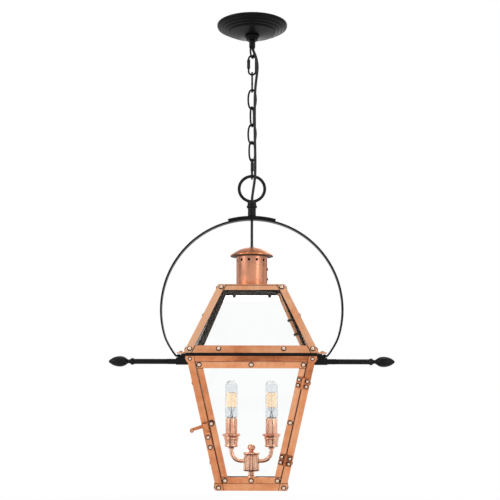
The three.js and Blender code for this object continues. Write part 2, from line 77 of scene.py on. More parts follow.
# ------------------------------------------------------------------ mesh helpers (millimetres in, metres out)
def new_object(name, verts, faces, mat, body=None, slot=None, reps=(), sharp=38, attrs=None):
    me = bpy.data.meshes.new(name)
    me.from_pydata([tuple(float(c) * MM for c in v) for v in verts], [], faces)
    me.update()
    for key, values in (attrs or {}).items():
        a = me.attributes.new(key, "FLOAT", "POINT")
        a.data.foreach_set("value", np.asarray(values, np.float32))
    bm = bmesh.new()
    bm.from_mesh(me)
    bmesh.ops.remove_doubles(bm, verts=bm.verts, dist=1e-7)
    bmesh.ops.recalc_face_normals(bm, faces=bm.faces)
    bm.to_mesh(me)
    bm.free()
    me.polygons.foreach_set("use_smooth", [True] * len(me.polygons))
    me.set_sharp_from_angle(angle=math.radians(sharp))
    ob = bpy.data.objects.new(name, me)
    scene.collection.objects.link(ob)
    if mat is not None:
        me.materials.append(mat)
    if body:
        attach(ob, body)
    if reps:
        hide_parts(*reps)
    return ob


def merge(*parts):
    """Several (verts, faces) or (verts, faces, values) lists as one."""
    verts, faces, vals, n = [], [], [], 0
    for p in parts:
        v, f = p[0], p[1]
        verts += [tuple(x) for x in v]
        faces += [tuple(i + n for i in q) for q in f]
        vals += list(p[2]) if len(p) > 2 else [0.0] * len(v)
        n += len(v)
    return verts, faces, vals


def place(part, matrix):
    m = np.array(matrix, float)
    v = np.array(part[0], float)
    return ((v @ m[:3, :3].T + m[:3, 3]).tolist(), part[1]) + tuple(part[2:])


def basis(x, y, z, at):
    m = Matrix((Vector(x), Vector(y), Vector(z))).transposed().to_4x4()
    m.translation = Vector(at)
    return m


def rounded(points, r, seg=4, closed=True, skip=()):
    """A 2-D profile with its corners rounded by radius r, at most 45% of the shorter side."""
    P = [np.array(p, float) for p in points]
    n, out = len(P), []
    for i, p in enumerate(P):
        if (not closed and i in (0, n - 1)) or i in skip:
            out.append(tuple(p))
            continue
        a, b = P[i - 1] - p, P[(i + 1) % n] - p
        la, lb = np.linalg.norm(a), np.linalg.norm(b)
        if la < 1e-9 or lb < 1e-9:
            continue
        a, b = a / la, b / lb
        ang = math.acos(max(-1, min(1, float(a @ b))))
        if ang > math.radians(176):
            out.append(tuple(p))
            continue
        d = min(r / math.tan(ang / 2), 0.45 * la, 0.45 * lb)
        s, e = p + a * d, p + b * d
        for k in range(seg + 1):
            t = k / seg
            out.append(tuple((1 - t) ** 2 * s + 2 * t * (1 - t) * p + t * t * e))
    return out


def lathe(profile, seg=64, closed=True, mod=None):
    """Profile of (r, z) turned about Z. Points on the axis become poles."""
    verts, faces, rings = [], [], []
    for r, z in profile:
        if abs(r) < 1e-6:
            rings.append([len(verts)])
            verts.append((0, 0, z))
            continue
        ring = []
        for k in range(seg):
            a = 2 * math.pi * k / seg
            q = (mod(r, z, a) if mod else (r, z))
            ring.append(len(verts))
            verts.append((q[0] * math.cos(a), q[0] * math.sin(a), q[1]))
        rings.append(ring)
    m = len(rings)
    for i in range(m if closed else m - 1):
        A, B = rings[i], rings[(i + 1) % m]
        if len(A) == 1 and len(B) == 1:
            continue
        for k in range(seg):
            j = (k + 1) % seg
            if len(A) == 1:
                faces.append((A[0], B[j], B[k]))
            elif len(B) == 1:
                faces.append((A[k], A[j], B[0]))
            else:
                faces.append((A[k], A[j], B[j], B[k]))
    return verts, faces


def circle(r, n):
    return [(r * math.cos(2 * math.pi * k / n), r * math.sin(2 * math.pi * k / n)) for k in range(n)]


def rrect(w, h, r, seg=3):
    return rounded([(-w / 2, -h / 2), (w / 2, -h / 2), (w / 2, h / 2), (-w / 2, h / 2)], r, seg)


def sweep(path, section, closed=False, side=None, scale=None, caps=True):
    """Carries section (a along out, b along side) on path. side fixes the binormal, otherwise it is transported."""
    P = np.array(path, float)
    n = len(P)
    T = np.zeros_like(P)
    for i in range(n):
        a = P[(i - 1) % n] if closed else P[max(i - 1, 0)]
        b = P[(i + 1) % n] if closed else P[min(i + 1, n - 1)]
        T[i] = (b - a) / np.linalg.norm(b - a)
    S = np.zeros_like(P)
    if side is not None:
        S[:] = np.array(side, float) / np.linalg.norm(side)
    else:
        s = np.cross(T[0], [0, 0, 1.0])
        if np.linalg.norm(s) < 1e-3:
            s = np.cross(T[0], [0, 1.0, 0])
        S[0] = s / np.linalg.norm(s)
        for i in range(1, n):
            s = S[i - 1] - T[i] * (S[i - 1] @ T[i])
            S[i] = s / np.linalg.norm(s)
    verts, faces, k = [], [], len(section)
    for i in range(n):
        out = np.cross(S[i], T[i])
        out /= np.linalg.norm(out)
        f = scale[i] if scale is not None else 1.0
        for a, b in section:
            verts.append(tuple(P[i] + out * a * f + S[i] * b * f))
    for i in range(n if closed else n - 1):
        j = (i + 1) % n
        for q in range(k):
            w = (q + 1) % k
            faces.append((i * k + q, i * k + w, j * k + w, j * k + q))
    if caps and not closed:
        faces.append(tuple(range(k)))
        faces.append(tuple((n - 1) * k + q for q in reversed(range(k))))
    return verts, faces


def slab(outline, w0, w1, bevel=0.3, seg=2, hole=None):
    """Flat plate: outline in (u, v), from w0 to w1, with its edges rounded."""
    def grow(pts, d):
        P = [np.array(p, float) for p in pts]
        n, out = len(P), []
        area = sum(P[i][0] * P[(i + 1) % n][1] - P[(i + 1) % n][0] * P[i][1] for i in range(n))
        sgn = 1 if area > 0 else -1
        for i in range(n):
            e1, e2 = P[i] - P[i - 1], P[(i + 1) % n] - P[i]
            n1 = np.array([e1[1], -e1[0]]) / (np.linalg.norm(e1) + 1e-12)
            n2 = np.array([e2[1], -e2[0]]) / (np.linalg.norm(e2) + 1e-12)
            b = n1 + n2
            b = b / max(float(b @ n1), 0.3)
            out.append(tuple(P[i] + sgn * b * d))
        return out
    steps = []
    for k in range(seg + 1):
        a = math.pi / 2 * k / seg
        steps.append((-bevel * (1 - math.sin(a)), w0 + bevel * (1 - math.cos(a))))
    steps += [(d, w0 + w1 - w) for d, w in reversed(steps)]
    verts, faces, n = [], [], len(outline)
    for d, w in steps:
        verts += [(p[0], p[1], w) for p in grow(outline, d)]
    for i in range(len(steps) - 1):
        for k in range(n):
            j = (k + 1) % n
            faces.append((i * n + k, i * n + j, (i + 1) * n + j, (i + 1) * n + k))
    faces.append(tuple(reversed(range(n))))
    faces.append(tuple((len(steps) - 1) * n + k for k in range(n)))
    return verts, faces


# ------------------------------------------------------------------ shape laws of the cage and the roof
SLOPE_B, SLOPE_R = 56 / 253, 62.5 / 135


def body(z):
    return 122 - SLOPE_B * (-694 - z)


def roof(z):
    return 64.5 + SLOPE_R * (-553 - z)


NB = Vector((0, -1, -SLOPE_B)).normalized()
NR = Vector((0, -1, SLOPE_R)).normalized()


def turn_z(v, turns):
    x, y, z = v
    for _ in range(turns % 4):
        x, y = -y, x
    return (x, y, z)


def on_body(x, z, w, turns=0):
    """Point of the cage's side number turns (0 front, 1 right, 2 rear, 3 left), w proud of it, and its normal."""
    p = (x, -body(z) + NB.y * w, z + NB.z * w)
    return turn_z(p, turns), turn_z(tuple(NB), turns)


def on_roof(x, z, w, turns=0):
    p = (x, -roof(z) + NR.y * w, z + NR.z * w)
    return turn_z(p, turns), turn_z(tuple(NR), turns)


# ------------------------------------------------------------------ node helper
class Tree:
    def __init__(self, name):
        self.m = bpy.data.materials.new(name)
        self.m.use_nodes = True
        self.t = self.m.node_tree
        self.t.nodes.clear()
        self.out = self.t.nodes.new("ShaderNodeOutputMaterial")
        self.bsdf = self.t.nodes.new("ShaderNodeBsdfPrincipled")
        self.t.links.new(self.bsdf.outputs[0], self.out.inputs[0])
        self.tc = self.t.nodes.new("ShaderNodeTexCoord")
        self.pos = self.tc.outputs["Object"]

    def put(self, socket, value):
        if isinstance(value, bpy.types.NodeSocket):
            self.t.links.new(value, socket)
        elif value is not None:
            if hasattr(socket.default_value, "__len__") and not hasattr(value, "__len__"):
                value = [value] * len(socket.default_value)
            if hasattr(socket.default_value, "__len__") and len(socket.default_value) == 4 and len(value) == 3:
                value = (*value, 1)
            socket.default_value = value

    def set(self, **kw):
        for k, v in kw.items():
            self.put(self.bsdf.inputs[k.replace("_", " ")], v)

    def math(self, op, a, b=None, c=None, clamp=False):
        n = self.t.nodes.new("ShaderNodeMath")
        n.operation, n.use_clamp = op, clamp
        for s, v in zip(n.inputs, (a, b, c)):
            self.put(s, v)
        return n.outputs[0]

    def vec(self, op, a, b=None, s=None):
        n = self.t.nodes.new("ShaderNodeVectorMath")
        n.operation = op
        self.put(n.inputs[0], a)
        if b is not None:
            self.put(n.inputs[1], b)
        if s is not None:
            self.put(n.inputs["Scale"], s)
        return n.outputs["Value"] if op in ("DOT_PRODUCT", "LENGTH", "DISTANCE") else n.outputs["Vector"]

    def xyz(self, v):
        n = self.t.nodes.new("ShaderNodeSeparateXYZ")
        self.put(n.inputs[0], v)
        return n.outputs[0], n.outputs[1], n.outputs[2]

    def join(self, x, y, z):
        n = self.t.nodes.new("ShaderNodeCombineXYZ")
        for s, v in zip(n.inputs, (x, y, z)):
            self.put(s, v)
        return n.outputs[0]

    def noise(self, vector, scale=1.0, detail=3.0, rough=0.55, distort=0.0):
        n = self.t.nodes.new("ShaderNodeTexNoise")
        self.put(n.inputs["Vector"], vector)
        self.put(n.inputs["Scale"], scale)
        self.put(n.inputs["Detail"], detail)
        self.put(n.inputs["Roughness"], rough)
        self.put(n.inputs["Distortion"], distort)
        return n.outputs[0]

    def rerange(self, v, a, b, c=0.0, d=1.0, smooth=False):
        n = self.t.nodes.new("ShaderNodeMapRange")
        n.interpolation_type = "SMOOTHSTEP" if smooth else "LINEAR"
        for s, x in zip(n.inputs, (v, a, b, c, d)):
            self.put(s, x)
        return n.outputs[0]

    def ramp(self, v, stops):
        n = self.t.nodes.new("ShaderNodeValToRGB")
        e = n.color_ramp.elements
        while len(e) < len(stops):
            e.new(0.5)
        for el, (at, col) in zip(e, stops):
            el.position, el.color = at, (*col, 1)
        self.put(n.inputs[0], v)
        return n.outputs[0]

    def mix(self, f, a, b, mode="MIX"):
        n = self.t.nodes.new("ShaderNodeMix")
        n.data_type, n.blend_type = "RGBA", mode
        self.put(n.inputs[0], f)
        self.put(n.inputs[6], a)
        self.put(n.inputs[7], b)
        return n.outputs[2]

    def bump(self, height, strength=0.2, distance=0.0005, normal=None):
        n = self.t.nodes.new("ShaderNodeBump")
        self.put(n.inputs["Strength"], strength)
        self.put(n.inputs["Distance"], distance)
        self.put(n.inputs["Height"], height)
        if normal is not None:
            self.put(n.inputs["Normal"], normal)
        return n.outputs[0]

    def ao(self, distance, samples=6, inside=False):
        n = self.t.nodes.new("ShaderNodeAmbientOcclusion")
        n.samples, n.inside = samples, inside
        self.put(n.inputs["Distance"], distance)
        return n.outputs["AO"]

    def attr(self, name):
        n = self.t.nodes.new("ShaderNodeAttribute")
        n.attribute_name = name
        return n.outputs["Fac"]


# linear colours
COPPER_DARK = (0.40, 0.115, 0.045)
COPPER_MID = (0.76, 0.27, 0.115)
COPPER_LIGHT = (0.90, 0.385, 0.185)
COPPER_PALE = (0.98, 0.54, 0.32)
# the patina colour below also serves for the painted shade in corners and gaps; the charcoal one is the dark inside
# finish, which also carries painted shade
PATINA_AND_SHADE = (0.060, 0.027, 0.017)
CHARCOAL = (0.050, 0.036, 0.027)


def band(t, v, a, b, soft=0.00035):
    """1 where v lies between a and b (metres), with soft ends."""
    up = t.rerange(v, a - soft, a + soft, 0.0, 1.0, True)
    down = t.rerange(v, b - soft, b + soft, 1.0, 0.0, True)
    return t.math("MULTIPLY", up, down)


def copper(name, kind, tone=0.0, inner_dark=True, under_dark=False, seed=0.0, pink=0.0, law=None, seams=(), levels=(), shade_above=None, inward_dark_range=(-0.30, -0.10), up_dark=0.0):
    """Brushed, lightly aged copper sheet. kind sets the direction of the brush marks; seams are painted shadow lines in
    the gaps where the sheets lap beside the corners (distance in from the corner by law), levels the same painted gap
    shadows at a height (and where across)."""
    t = Tree(name)
    x, y, z = t.xyz(t.pos)
    if kind in ("post_body", "post_roof"):
        k = -SLOPE_B if kind == "post_body" else SLOPE_R
        kz = t.math("MULTIPLY", z, k)
        u = t.math("ADD", t.math("ABSOLUTE", x), kz)
        v = t.math("ADD", t.math("ABSOLUTE", y), kz)
        w = z
    elif kind == "rail":
        u, v, w = z, t.math("MULTIPLY", z, 0.37), t.math("ADD", x, t.math("MULTIPLY", y, 1.0))
    elif kind == "round":
        u = z
        v = t.math("MULTIPLY", t.vec("LENGTH", t.join(x, y, 0.0)), 1.0)
        w = t.math("MULTIPLY", t.math("ARCTAN2", y, x), 0.03)
    else:  # tube: marks run along z
        u, v, w = x, y, z
    coarse = t.noise(t.join(t.math("MULTIPLY", u, 330.0), t.math("MULTIPLY", v, 330.0), t.math("MULTIPLY", w, 11.0)), 1.0, 4.0, 0.6)
    fine = t.noise(t.join(t.math("MULTIPLY", u, 1500.0), t.math("MULTIPLY", v, 1500.0), t.math("MULTIPLY", w, 34.0)), 1.0, 3.0, 0.6)
    shift = t.vec("ADD", t.pos, (seed, seed * 0.7, seed * 1.3))
    cloud = t.noise(shift, 17.0, 4.0, 0.55, 0.4)
    mottle = t.noise(shift, 95.0, 4.0, 0.6, 0.2)
    speck = t.noise(shift, 620.0, 3.0, 0.6)
    # tone of the metal from the cloud, the mottle and the brush marks together
    mixv = t.math("ADD", t.math("MULTIPLY", cloud, 0.60), t.math("ADD", t.math("MULTIPLY", coarse, 0.22), t.math("MULTIPLY", mottle, 0.18)))
    drift = t.noise(t.join(t.math("MULTIPLY", x, 9.0), t.math("MULTIPLY", y, 9.0), t.math("MULTIPLY", z, 5.0)), 1.0, 1.0, 0.4)
    mixv = t.math("ADD", mixv, t.math("MULTIPLY", t.math("SUBTRACT", drift, 0.5), 0.28))
    mixv = t.math("ADD", mixv, tone)
    col = t.ramp(mixv, [(0.30, COPPER_DARK), (0.44, COPPER_MID), (0.56, COPPER_LIGHT), (0.72, COPPER_PALE)])
    col = t.mix(t.rerange(fine, 0.35, 0.75, 0.0, 0.20), col, tuple(0.55 * c for c in COPPER_LIGHT))
    if pink:
        col = t.mix(pink, col, (0.72, 0.40, 0.29))
    spots = t.rerange(speck, 0.66, 0.80, 0.0, 0.30)
    col = t.mix(spots, col, PATINA_AND_SHADE)
    # dark patina in the hollows, together with painted shade: darker in corners and beside rivets where occlusion finds
    # them, and painted shadow lines along the laps and gaps
    ao = t.ao(0.0042, 8)
    patina_and_shade = t.rerange(t.math("ADD", ao, t.math("MULTIPLY", t.math("SUBTRACT", mottle, 0.5), 0.35)), 0.36, 0.86, 0.92, 0.0, True)
    if law:
        k0, k1 = (0.275613, SLOPE_B) if law == "body" else (-0.191519, -SLOPE_R)
        half_ = t.math("ADD", t.math("MULTIPLY", z, k1), k0)
        ix = t.math("SUBTRACT", half_, t.math("ABSOLUTE", x))
        iy = t.math("SUBTRACT", half_, t.math("ABSOLUTE", y))
        across = t.math("MAXIMUM", ix, iy)
        wob = t.math("ADD", across, t.math("MULTIPLY", t.math("SUBTRACT", mottle, 0.5), 0.0006))
        for a, b in seams:
            patina_and_shade = t.math("MAXIMUM", patina_and_shade, band(t, wob, a * MM, b * MM))
        for z0, z1, a, b in levels:
            hit = t.math("MULTIPLY", band(t, z, z0 * MM, z1 * MM, 0.0003), band(t, across, a * MM, b * MM, 0.0006))
            patina_and_shade = t.math("MAXIMUM", patina_and_shade, hit)
    patina_and_shade = t.math("MINIMUM", patina_and_shade, 1.0)
    col = t.mix(patina_and_shade, col, PATINA_AND_SHADE)
    rough = t.rerange(t.math("ADD", t.math("MULTIPLY", coarse, 0.6), t.math("MULTIPLY", mottle, 0.4)), 0.3, 0.7, 0.24, 0.40)
    rough = t.math("ADD", rough, t.math("MULTIPLY", patina_and_shade, 0.25))
    metal = t.math("SUBTRACT", 1.0, t.math("MULTIPLY", patina_and_shade, 0.55))
    # painted shade together with a dark inside finish: faces turned in towards the axis take the dark inside finish,
    # which also stands in for the shade inside the lantern; faces turned down are painted with the shade under the eave
    # and under the cap; faces turned up are darkened; above the given height the metal is painted with the shadow under
    # the eave
    if inner_dark or under_dark:
        nrm = t.tc.outputs["Normal"]
        flat = t.vec("NORMALIZE", t.join(x, y, 0.0))
        if inner_dark:
            away = t.vec("DOT_PRODUCT", nrm, flat)
            dark = t.rerange(away, inward_dark_range[0], inward_dark_range[1], 1.0, 0.0, True)
        else:
            dark = None
        if under_dark:
            nz = t.xyz(nrm)[2]
            d2 = t.rerange(nz, -0.90 if under_dark is True else -0.62, -0.70 if under_dark is True else -0.30, 1.0, 0.0, True)
            dark = t.math("MAXIMUM", dark, d2) if dark is not None else d2
        if up_dark:
            up = t.rerange(t.xyz(nrm)[2], 0.70, 0.92, 0.0, up_dark, True)
            dark = t.math("MAXIMUM", dark, up)
        if shade_above is not None:
            d3 = t.rerange(z, shade_above * MM - 0.0002, shade_above * MM + 0.0002, 0.0, 1.0)
            dark = t.math("MAXIMUM", dark, d3)
        dark_finish_and_shade = t.mix(t.rerange(mottle, 0.35, 0.65), CHARCOAL, (0.075, 0.054, 0.040))
        col = t.mix(dark, col, dark_finish_and_shade)
        rough = t.math("ADD", rough, t.math("MULTIPLY", dark, 0.22))
        metal = t.math("MULTIPLY", metal, t.math("SUBTRACT", 1.0, dark))
        t.put(t.bsdf.inputs["Specular IOR Level"], t.rerange(dark, 0.0, 1.0, 0.5, 0.10))
    t.set(Base_Color=col, Roughness=rough, Metallic=metal)
    height = t.math("ADD", t.math("MULTIPLY", fine, 0.55), t.math("ADD", t.math("MULTIPLY", coarse, 0.7), t.math("MULTIPLY", mottle, 0.9)))
    t.put(t.bsdf.inputs["Normal"], t.bump(height, 0.28, 0.00035))
    return t.m


def iron(name, hammered=0.0, base=(0.0036, 0.0036, 0.0039), rough=0.36, spec=0.19, seed=0.0):
    """Satin black paint over iron, with the cast or hammered surface under it."""
    t = Tree(name)
    p = t.vec("ADD", t.pos, (seed, seed, seed))
    big = t.noise(p, 60.0, 3.0, 0.5)
    mid = t.noise(p, 330.0, 3.0, 0.55)
    fine = t.noise(p, 2100.0, 2.0, 0.5)
    # darker in the crevices found by occlusion: painted shade; the mask named dust here is this shade, not dust
    ao = t.ao(0.003, 4)
    dust = t.rerange(ao, 0.25, 0.8, 1.0, 0.0, True)
    col = t.mix(t.rerange(big, 0.3, 0.7), tuple(0.75 * c for c in base), tuple(1.35 * c for c in base))
    col = t.mix(t.rerange(mid, 0.58, 0.75, 0.0, 0.5), col, (0.009, 0.0087, 0.0084))
    col = t.mix(t.math("MULTIPLY", dust, 0.5), col, (0.004, 0.004, 0.004))
    r = t.rerange(t.math("ADD", t.math("MULTIPLY", mid, 0.6), t.math("MULTIPLY", big, 0.4)), 0.3, 0.7, rough - 0.07, rough + 0.10)
    t.set(Base_Color=col, Roughness=r, Metallic=0.0)
    t.bsdf.inputs["Specular IOR Level"].default_value = spec
    h = t.math("ADD", t.math("MULTIPLY", big, 2.2 * hammered), t.math("ADD", t.math("MULTIPLY", mid, 0.35 + 1.1 * hammered), t.math("MULTIPLY", fine, 0.10)))
    t.put(t.bsdf.inputs["Normal"], t.bump(h, 0.30 + 0.45 * hammered, 0.0006))
    return t.m


def antique(name, seed=0.0, flute=False):
    """Pinkish antiqued copper with dark recesses, as on cast lamp arms."""
    t = Tree(name)
    p = t.vec("ADD", t.pos, (seed, seed, seed))
    x, y, z = t.xyz(p)
    cloud = t.noise(p, 30.0, 3.0, 0.5, 0.2)
    mottle = t.noise(t.join(t.math("MULTIPLY", x, 260.0), t.math("MULTIPLY", y, 260.0), t.math("MULTIPLY", z, 70.0)), 1.0, 3.0, 0.5)
    fine = t.noise(t.join(t.math("MULTIPLY", x, 1400.0), t.math("MULTIPLY", y, 1400.0), t.math("MULTIPLY", z, 120.0)), 1.0, 3.0, 0.6)
    v = t.math("ADD", t.math("MULTIPLY", cloud, 0.6), t.math("MULTIPLY", mottle, 0.4))
    col = t.ramp(v, [(0.34, (0.66, 0.30, 0.19)), (0.50, (0.84, 0.45, 0.30)), (0.64, (0.95, 0.60, 0.43))])
    col = t.mix(t.rerange(fine, 0.45, 0.75, 0.0, 0.16), col, (0.30, 0.12, 0.075))
    ao = t.ao(0.0034, 8)
    patina_and_shade = t.rerange(t.math("ADD", ao, t.math("MULTIPLY", t.math("SUBTRACT", mottle, 0.5), 0.10)), 0.22, 0.66, 0.85, 0.0, True)
    col = t.mix(patina_and_shade, col, (0.085, 0.042, 0.028))
    r = t.math("ADD", t.rerange(mottle, 0.3, 0.7, 0.20, 0.30), t.math("MULTIPLY", patina_and_shade, 0.25))
    t.set(Base_Color=col, Roughness=r, Metallic=t.math("SUBTRACT", 1.0, t.math("MULTIPLY", patina_and_shade, 0.5)))
    t.put(t.bsdf.inputs["Normal"], t.bump(t.math("ADD", t.math("MULTIPLY", mottle, 0.5), t.math("MULTIPLY", fine, 0.5)), 0.12, 0.0002))
    return t.m


def rivet_metal(name):
    t = Tree(name)
    rim = t.attr("rim")
    mottle = t.noise(t.pos, 900.0, 3.0, 0.6)
    edge = t.math("ADD", rim, t.math("MULTIPLY", t.math("SUBTRACT", mottle, 0.5), 0.35))
    dark = t.rerange(edge, 0.40, 0.62, 0.0, 1.0, True)
    col = t.mix(t.rerange(mottle, 0.35, 0.7), (0.97, 0.74, 0.58), (0.90, 0.58, 0.42))
    col = t.mix(dark, col, (0.060, 0.028, 0.018))
    t.set(Base_Color=col, Roughness=t.rerange(dark, 0.0, 1.0, 0.20, 0.55),
          Metallic=t.math("SUBTRACT", 1.0, t.math("MULTIPLY", dark, 0.55)))
    t.put(t.bsdf.inputs["Normal"], t.bump(mottle, 0.15, 0.0002))
    return t.m


def pane_glass(name):
    t = Tree(name)
    wave = t.noise(t.pos, 26.0, 2.0, 0.5)
    dust = t.noise(t.pos, 240.0, 3.0, 0.6)
    t.set(Base_Color=(0.985, 0.992, 0.99), Roughness=t.rerange(dust, 0.55, 0.8, 0.0, 0.035), Metallic=0.0)
    t.bsdf.inputs["Transmission Weight"].default_value = 1.0
    t.bsdf.inputs["IOR"].default_value = 1.22
    t.put(t.bsdf.inputs["Normal"], t.bump(wave, 0.02, 0.0006))
    return t.m


def bulb_glass(name):
    t = Tree(name)
    wave = t.noise(t.pos, 60.0, 2.0, 0.5)
    t.set(Base_Color=(0.885, 0.895, 0.91), Roughness=t.rerange(wave, 0.3, 0.8, 0.0, 0.03), Metallic=0.0)
    t.bsdf.inputs["Transmission Weight"].default_value = 1.0
    t.bsdf.inputs["IOR"].default_value = 1.47
    t.put(t.bsdf.inputs["Normal"], t.bump(wave, 0.04, 0.0006))
    return t.m


def glow(name):
    """The warm zone of light round the carbon filament."""
    t = Tree(name)
    x, y, z = t.xyz(t.pos)
    v = t.noise(t.join(t.math("MULTIPLY", x, 420.0), t.math("MULTIPLY", y, 420.0), t.math("MULTIPLY", z, 90.0)), 1.0, 3.0, 0.6)
    col = t.mix(t.rerange(v, 0.35, 0.65), (0.98, 0.72, 0.40), (0.98, 0.83, 0.60))
    t.set(Base_Color=col, Roughness=0.6, Emission_Color=col, Alpha=t.rerange(v, 0.3, 0.7, 0.18, 0.42))
    t.bsdf.inputs["Emission Strength"].default_value = 0.30
    return t.m


def plain_metal(name, light, dark, rough=0.3, scale=260.0, metallic=1.0, spec=0.5, bump=0.15):
    t = Tree(name)
    a = t.noise(t.pos, scale, 4.0, 0.6)
    b = t.noise(t.pos, scale * 6, 2.0, 0.5)
    col = t.mix(t.rerange(a, 0.32, 0.68), dark, light)
    t.set(Base_Color=col, Roughness=t.rerange(b, 0.3, 0.7, rough - 0.06, rough + 0.08), Metallic=metallic)
    t.bsdf.inputs["Specular IOR Level"].default_value = spec
    t.put(t.bsdf.inputs["Normal"], t.bump(t.math("ADD", a, t.math("MULTIPLY", b, 0.3)), bump, 0.0003))
    return t.m


def filament_mat(name):
    t = Tree(name)
    v = t.noise(t.pos, 700.0, 2.0, 0.5)
    col = t.mix(v, (1.0, 0.52, 0.16), (1.0, 0.70, 0.34))
    t.set(Base_Color=(0.55, 0.33, 0.15), Roughness=0.5, Emission_Color=col)
    t.bsdf.inputs["Emission Strength"].default_value = 0.7
    return t.m


def cord_mat(name):
    t = Tree(name)
    a = t.noise(t.pos, 180.0, 3.0, 0.55)
    b = t.noise(t.pos, 1900.0, 2.0, 0.5)
    col = t.mix(t.rerange(a, 0.3, 0.7), (0.0065, 0.0065, 0.007), (0.0125, 0.0125, 0.013))
    t.set(Base_Color=col, Roughness=t.rerange(b, 0.3, 0.7, 0.38, 0.52), Metallic=0.0)
    t.bsdf.inputs["Specular IOR Level"].default_value = 0.35
    t.put(t.bsdf.inputs["Normal"], t.bump(t.math("ADD", a, t.math("MULTIPLY", b, 0.5)), 0.22, 0.0003))
    return t.m


M_POST = copper("copper_post", "post_body", seed=0.31, law="body", seams=[(13.15, 16)])
M_FOOT = copper("copper_foot", "post_body", tone=0.01, inner_dark=False, seed=0.31)
M_DOOR = copper("copper_door", "post_body", tone=0.03, seed=1.7, law="body", seams=[(13, 15.55)],
                levels=[(-717.4, -716.3, 14, 27.2), (-921.9, -920.8, 14, 27.2)])
M_HIP = copper("copper_hip", "post_roof", tone=0.12, seed=2.9, law="roof", seams=[(14.3, 17)])
# a lighter copy of the hip copper for the front left hip: painted light, as that hip faces the key light
M_HIP_LIT = copper("copper_hip_lit", "post_roof", tone=0.24, seed=3.3, law="roof", seams=[(14.3, 17)])
M_RAIL = copper("copper_rail", "rail", tone=0.17, seed=4.1, law="roof", seams=[(14.6, 16.2)])
M_EAVE = copper("copper_eave", "rail", tone=0.05, seed=5.3, under_dark=True, law="roof", seams=[(14.6, 16.0)])
# the header is a darker copy of the copper: painted shade from the eave above it, and its top is painted with the
# eave's shadow
M_HEADER_SHADED = copper("copper_header_shaded", "rail", tone=-0.11, seed=6.7, law="body", seams=[(13.6, 15.0)], shade_above=-693.95)
M_PAN = copper("copper_pan", "rail", tone=0.09, seed=7.9, up_dark=0.62, law="body", seams=[(13.6, 14.9)])
M_CAP = copper("copper_cap", "round", tone=-0.03, seed=8.3, inner_dark=True, under_dark="shallow", inward_dark_range=(-0.5, -0.3))
M_TUBE = copper("copper_tube", "tube", tone=-0.06, seed=9.1, inner_dark=True, under_dark="shallow", pink=0.45)
M_LEAF = copper("copper_leaf", "post_body", tone=-0.16, inner_dark=False, seed=10.7)
M_LATCH = copper("copper_latch", "tube", tone=-0.13, inner_dark=False, seed=11.9)
M_KEEPER = copper("copper_keeper", "post_body", tone=-0.05, inner_dark=False, seed=12.2)
# plain dark brown for the clips: painted shade, as they sit in shadow inside the roof
M_CLIP_SHADE = plain_metal("clip_painted_shade", (0.085, 0.055, 0.038), (0.045, 0.030, 0.022), 0.5, 300.0, 0.3, 0.3)
# a pale copy of the copper for the wire channel: painted light, lifting a strip that sits in the roof's shade
M_CHANNEL_LIT = copper("copper_channel_lit", "post_roof", tone=0.24, inner_dark=False, seed=12.9)
M_RIVET = rivet_metal("rivet_metal")
M_IRON = iron("black_iron", 0.25, seed=0.2)
M_IRON_SMOOTH = iron("black_iron_smooth", 0.0, rough=0.30, seed=1.2)
M_CANOPY = iron("black_canopy", 0.0, base=(0.0030, 0.0030, 0.0032), rough=0.33, spec=0.09, seed=3.2)
M_IRON_CAST = iron("black_iron_cast", 1.0, rough=0.34, seed=2.2)
M_ANTIQUE = antique("antique_copper", 0.4)
M_ANTIQUE_B = antique("antique_copper_sleeve", 1.9)
M_GLASS = pane_glass("pane_glass")
M_BULB = bulb_glass("bulb_glass")
M_GLOW = glow("filament_glow")
M_FIL = filament_mat("filament")
M_STEEL = plain_metal("zinc_steel", (0.62, 0.62, 0.60), (0.36, 0.36, 0.35), 0.34)
M_NICKEL = plain_metal("nickel_wire", (0.16, 0.155, 0.15), (0.07, 0.068, 0.066), 0.34, 260.0, 0.6)
M_BRASSY = plain_metal("screw_copper", (0.80, 0.52, 0.36), (0.42, 0.22, 0.13), 0.28, 500.0)
M_PHENOLIC = plain_metal("phenolic", (0.020, 0.019, 0.018), (0.009, 0.009, 0.009), 0.42, 300.0, 0.0, 0.4)
M_RUBBER = plain_metal("grommet_rubber", (0.016, 0.016, 0.016), (0.008, 0.008, 0.008), 0.55, 400.0, 0.0, 0.3)
M_CORD = cord_mat("cord_jacket")


# ------------------------------------------------------------------ supply cord: one length per chain joint
def catmull(points, per=10):
    P = [np.array(p, float) for p in points]
    n, out = len(P), []
    for i in range(n - 1):
        p1, p2 = P[i], P[i + 1]
        p0 = P[i - 1] if i else 2 * P[0] - P[1]
        p3 = P[i + 2] if i + 2 < n else 2 * P[-1] - P[-2]
        d0, d1, d2 = (max(float((a - b) @ (a - b)) ** 0.25, 1e-4) for a, b in ((p0, p1), (p1, p2), (p2, p3)))
        t1 = ((p1 - p0) / d0 - (p2 - p0) / (d0 + d1) + (p2 - p1) / d1) * d1
        t2 = ((p2 - p1) / d1 - (p3 - p1) / (d1 + d2) + (p3 - p2) / d2) * d1
        for k in range(per):
            s = k / per
            c2, c3 = -3 * p1 + 3 * p2 - 2 * t1 - t2, 2 * p1 - 2 * p2 + t1 + t2
            out.append(p1 + t1 * s + c2 * s * s + c3 * s ** 3)
    out.append(P[-1])
    return np.array(out)


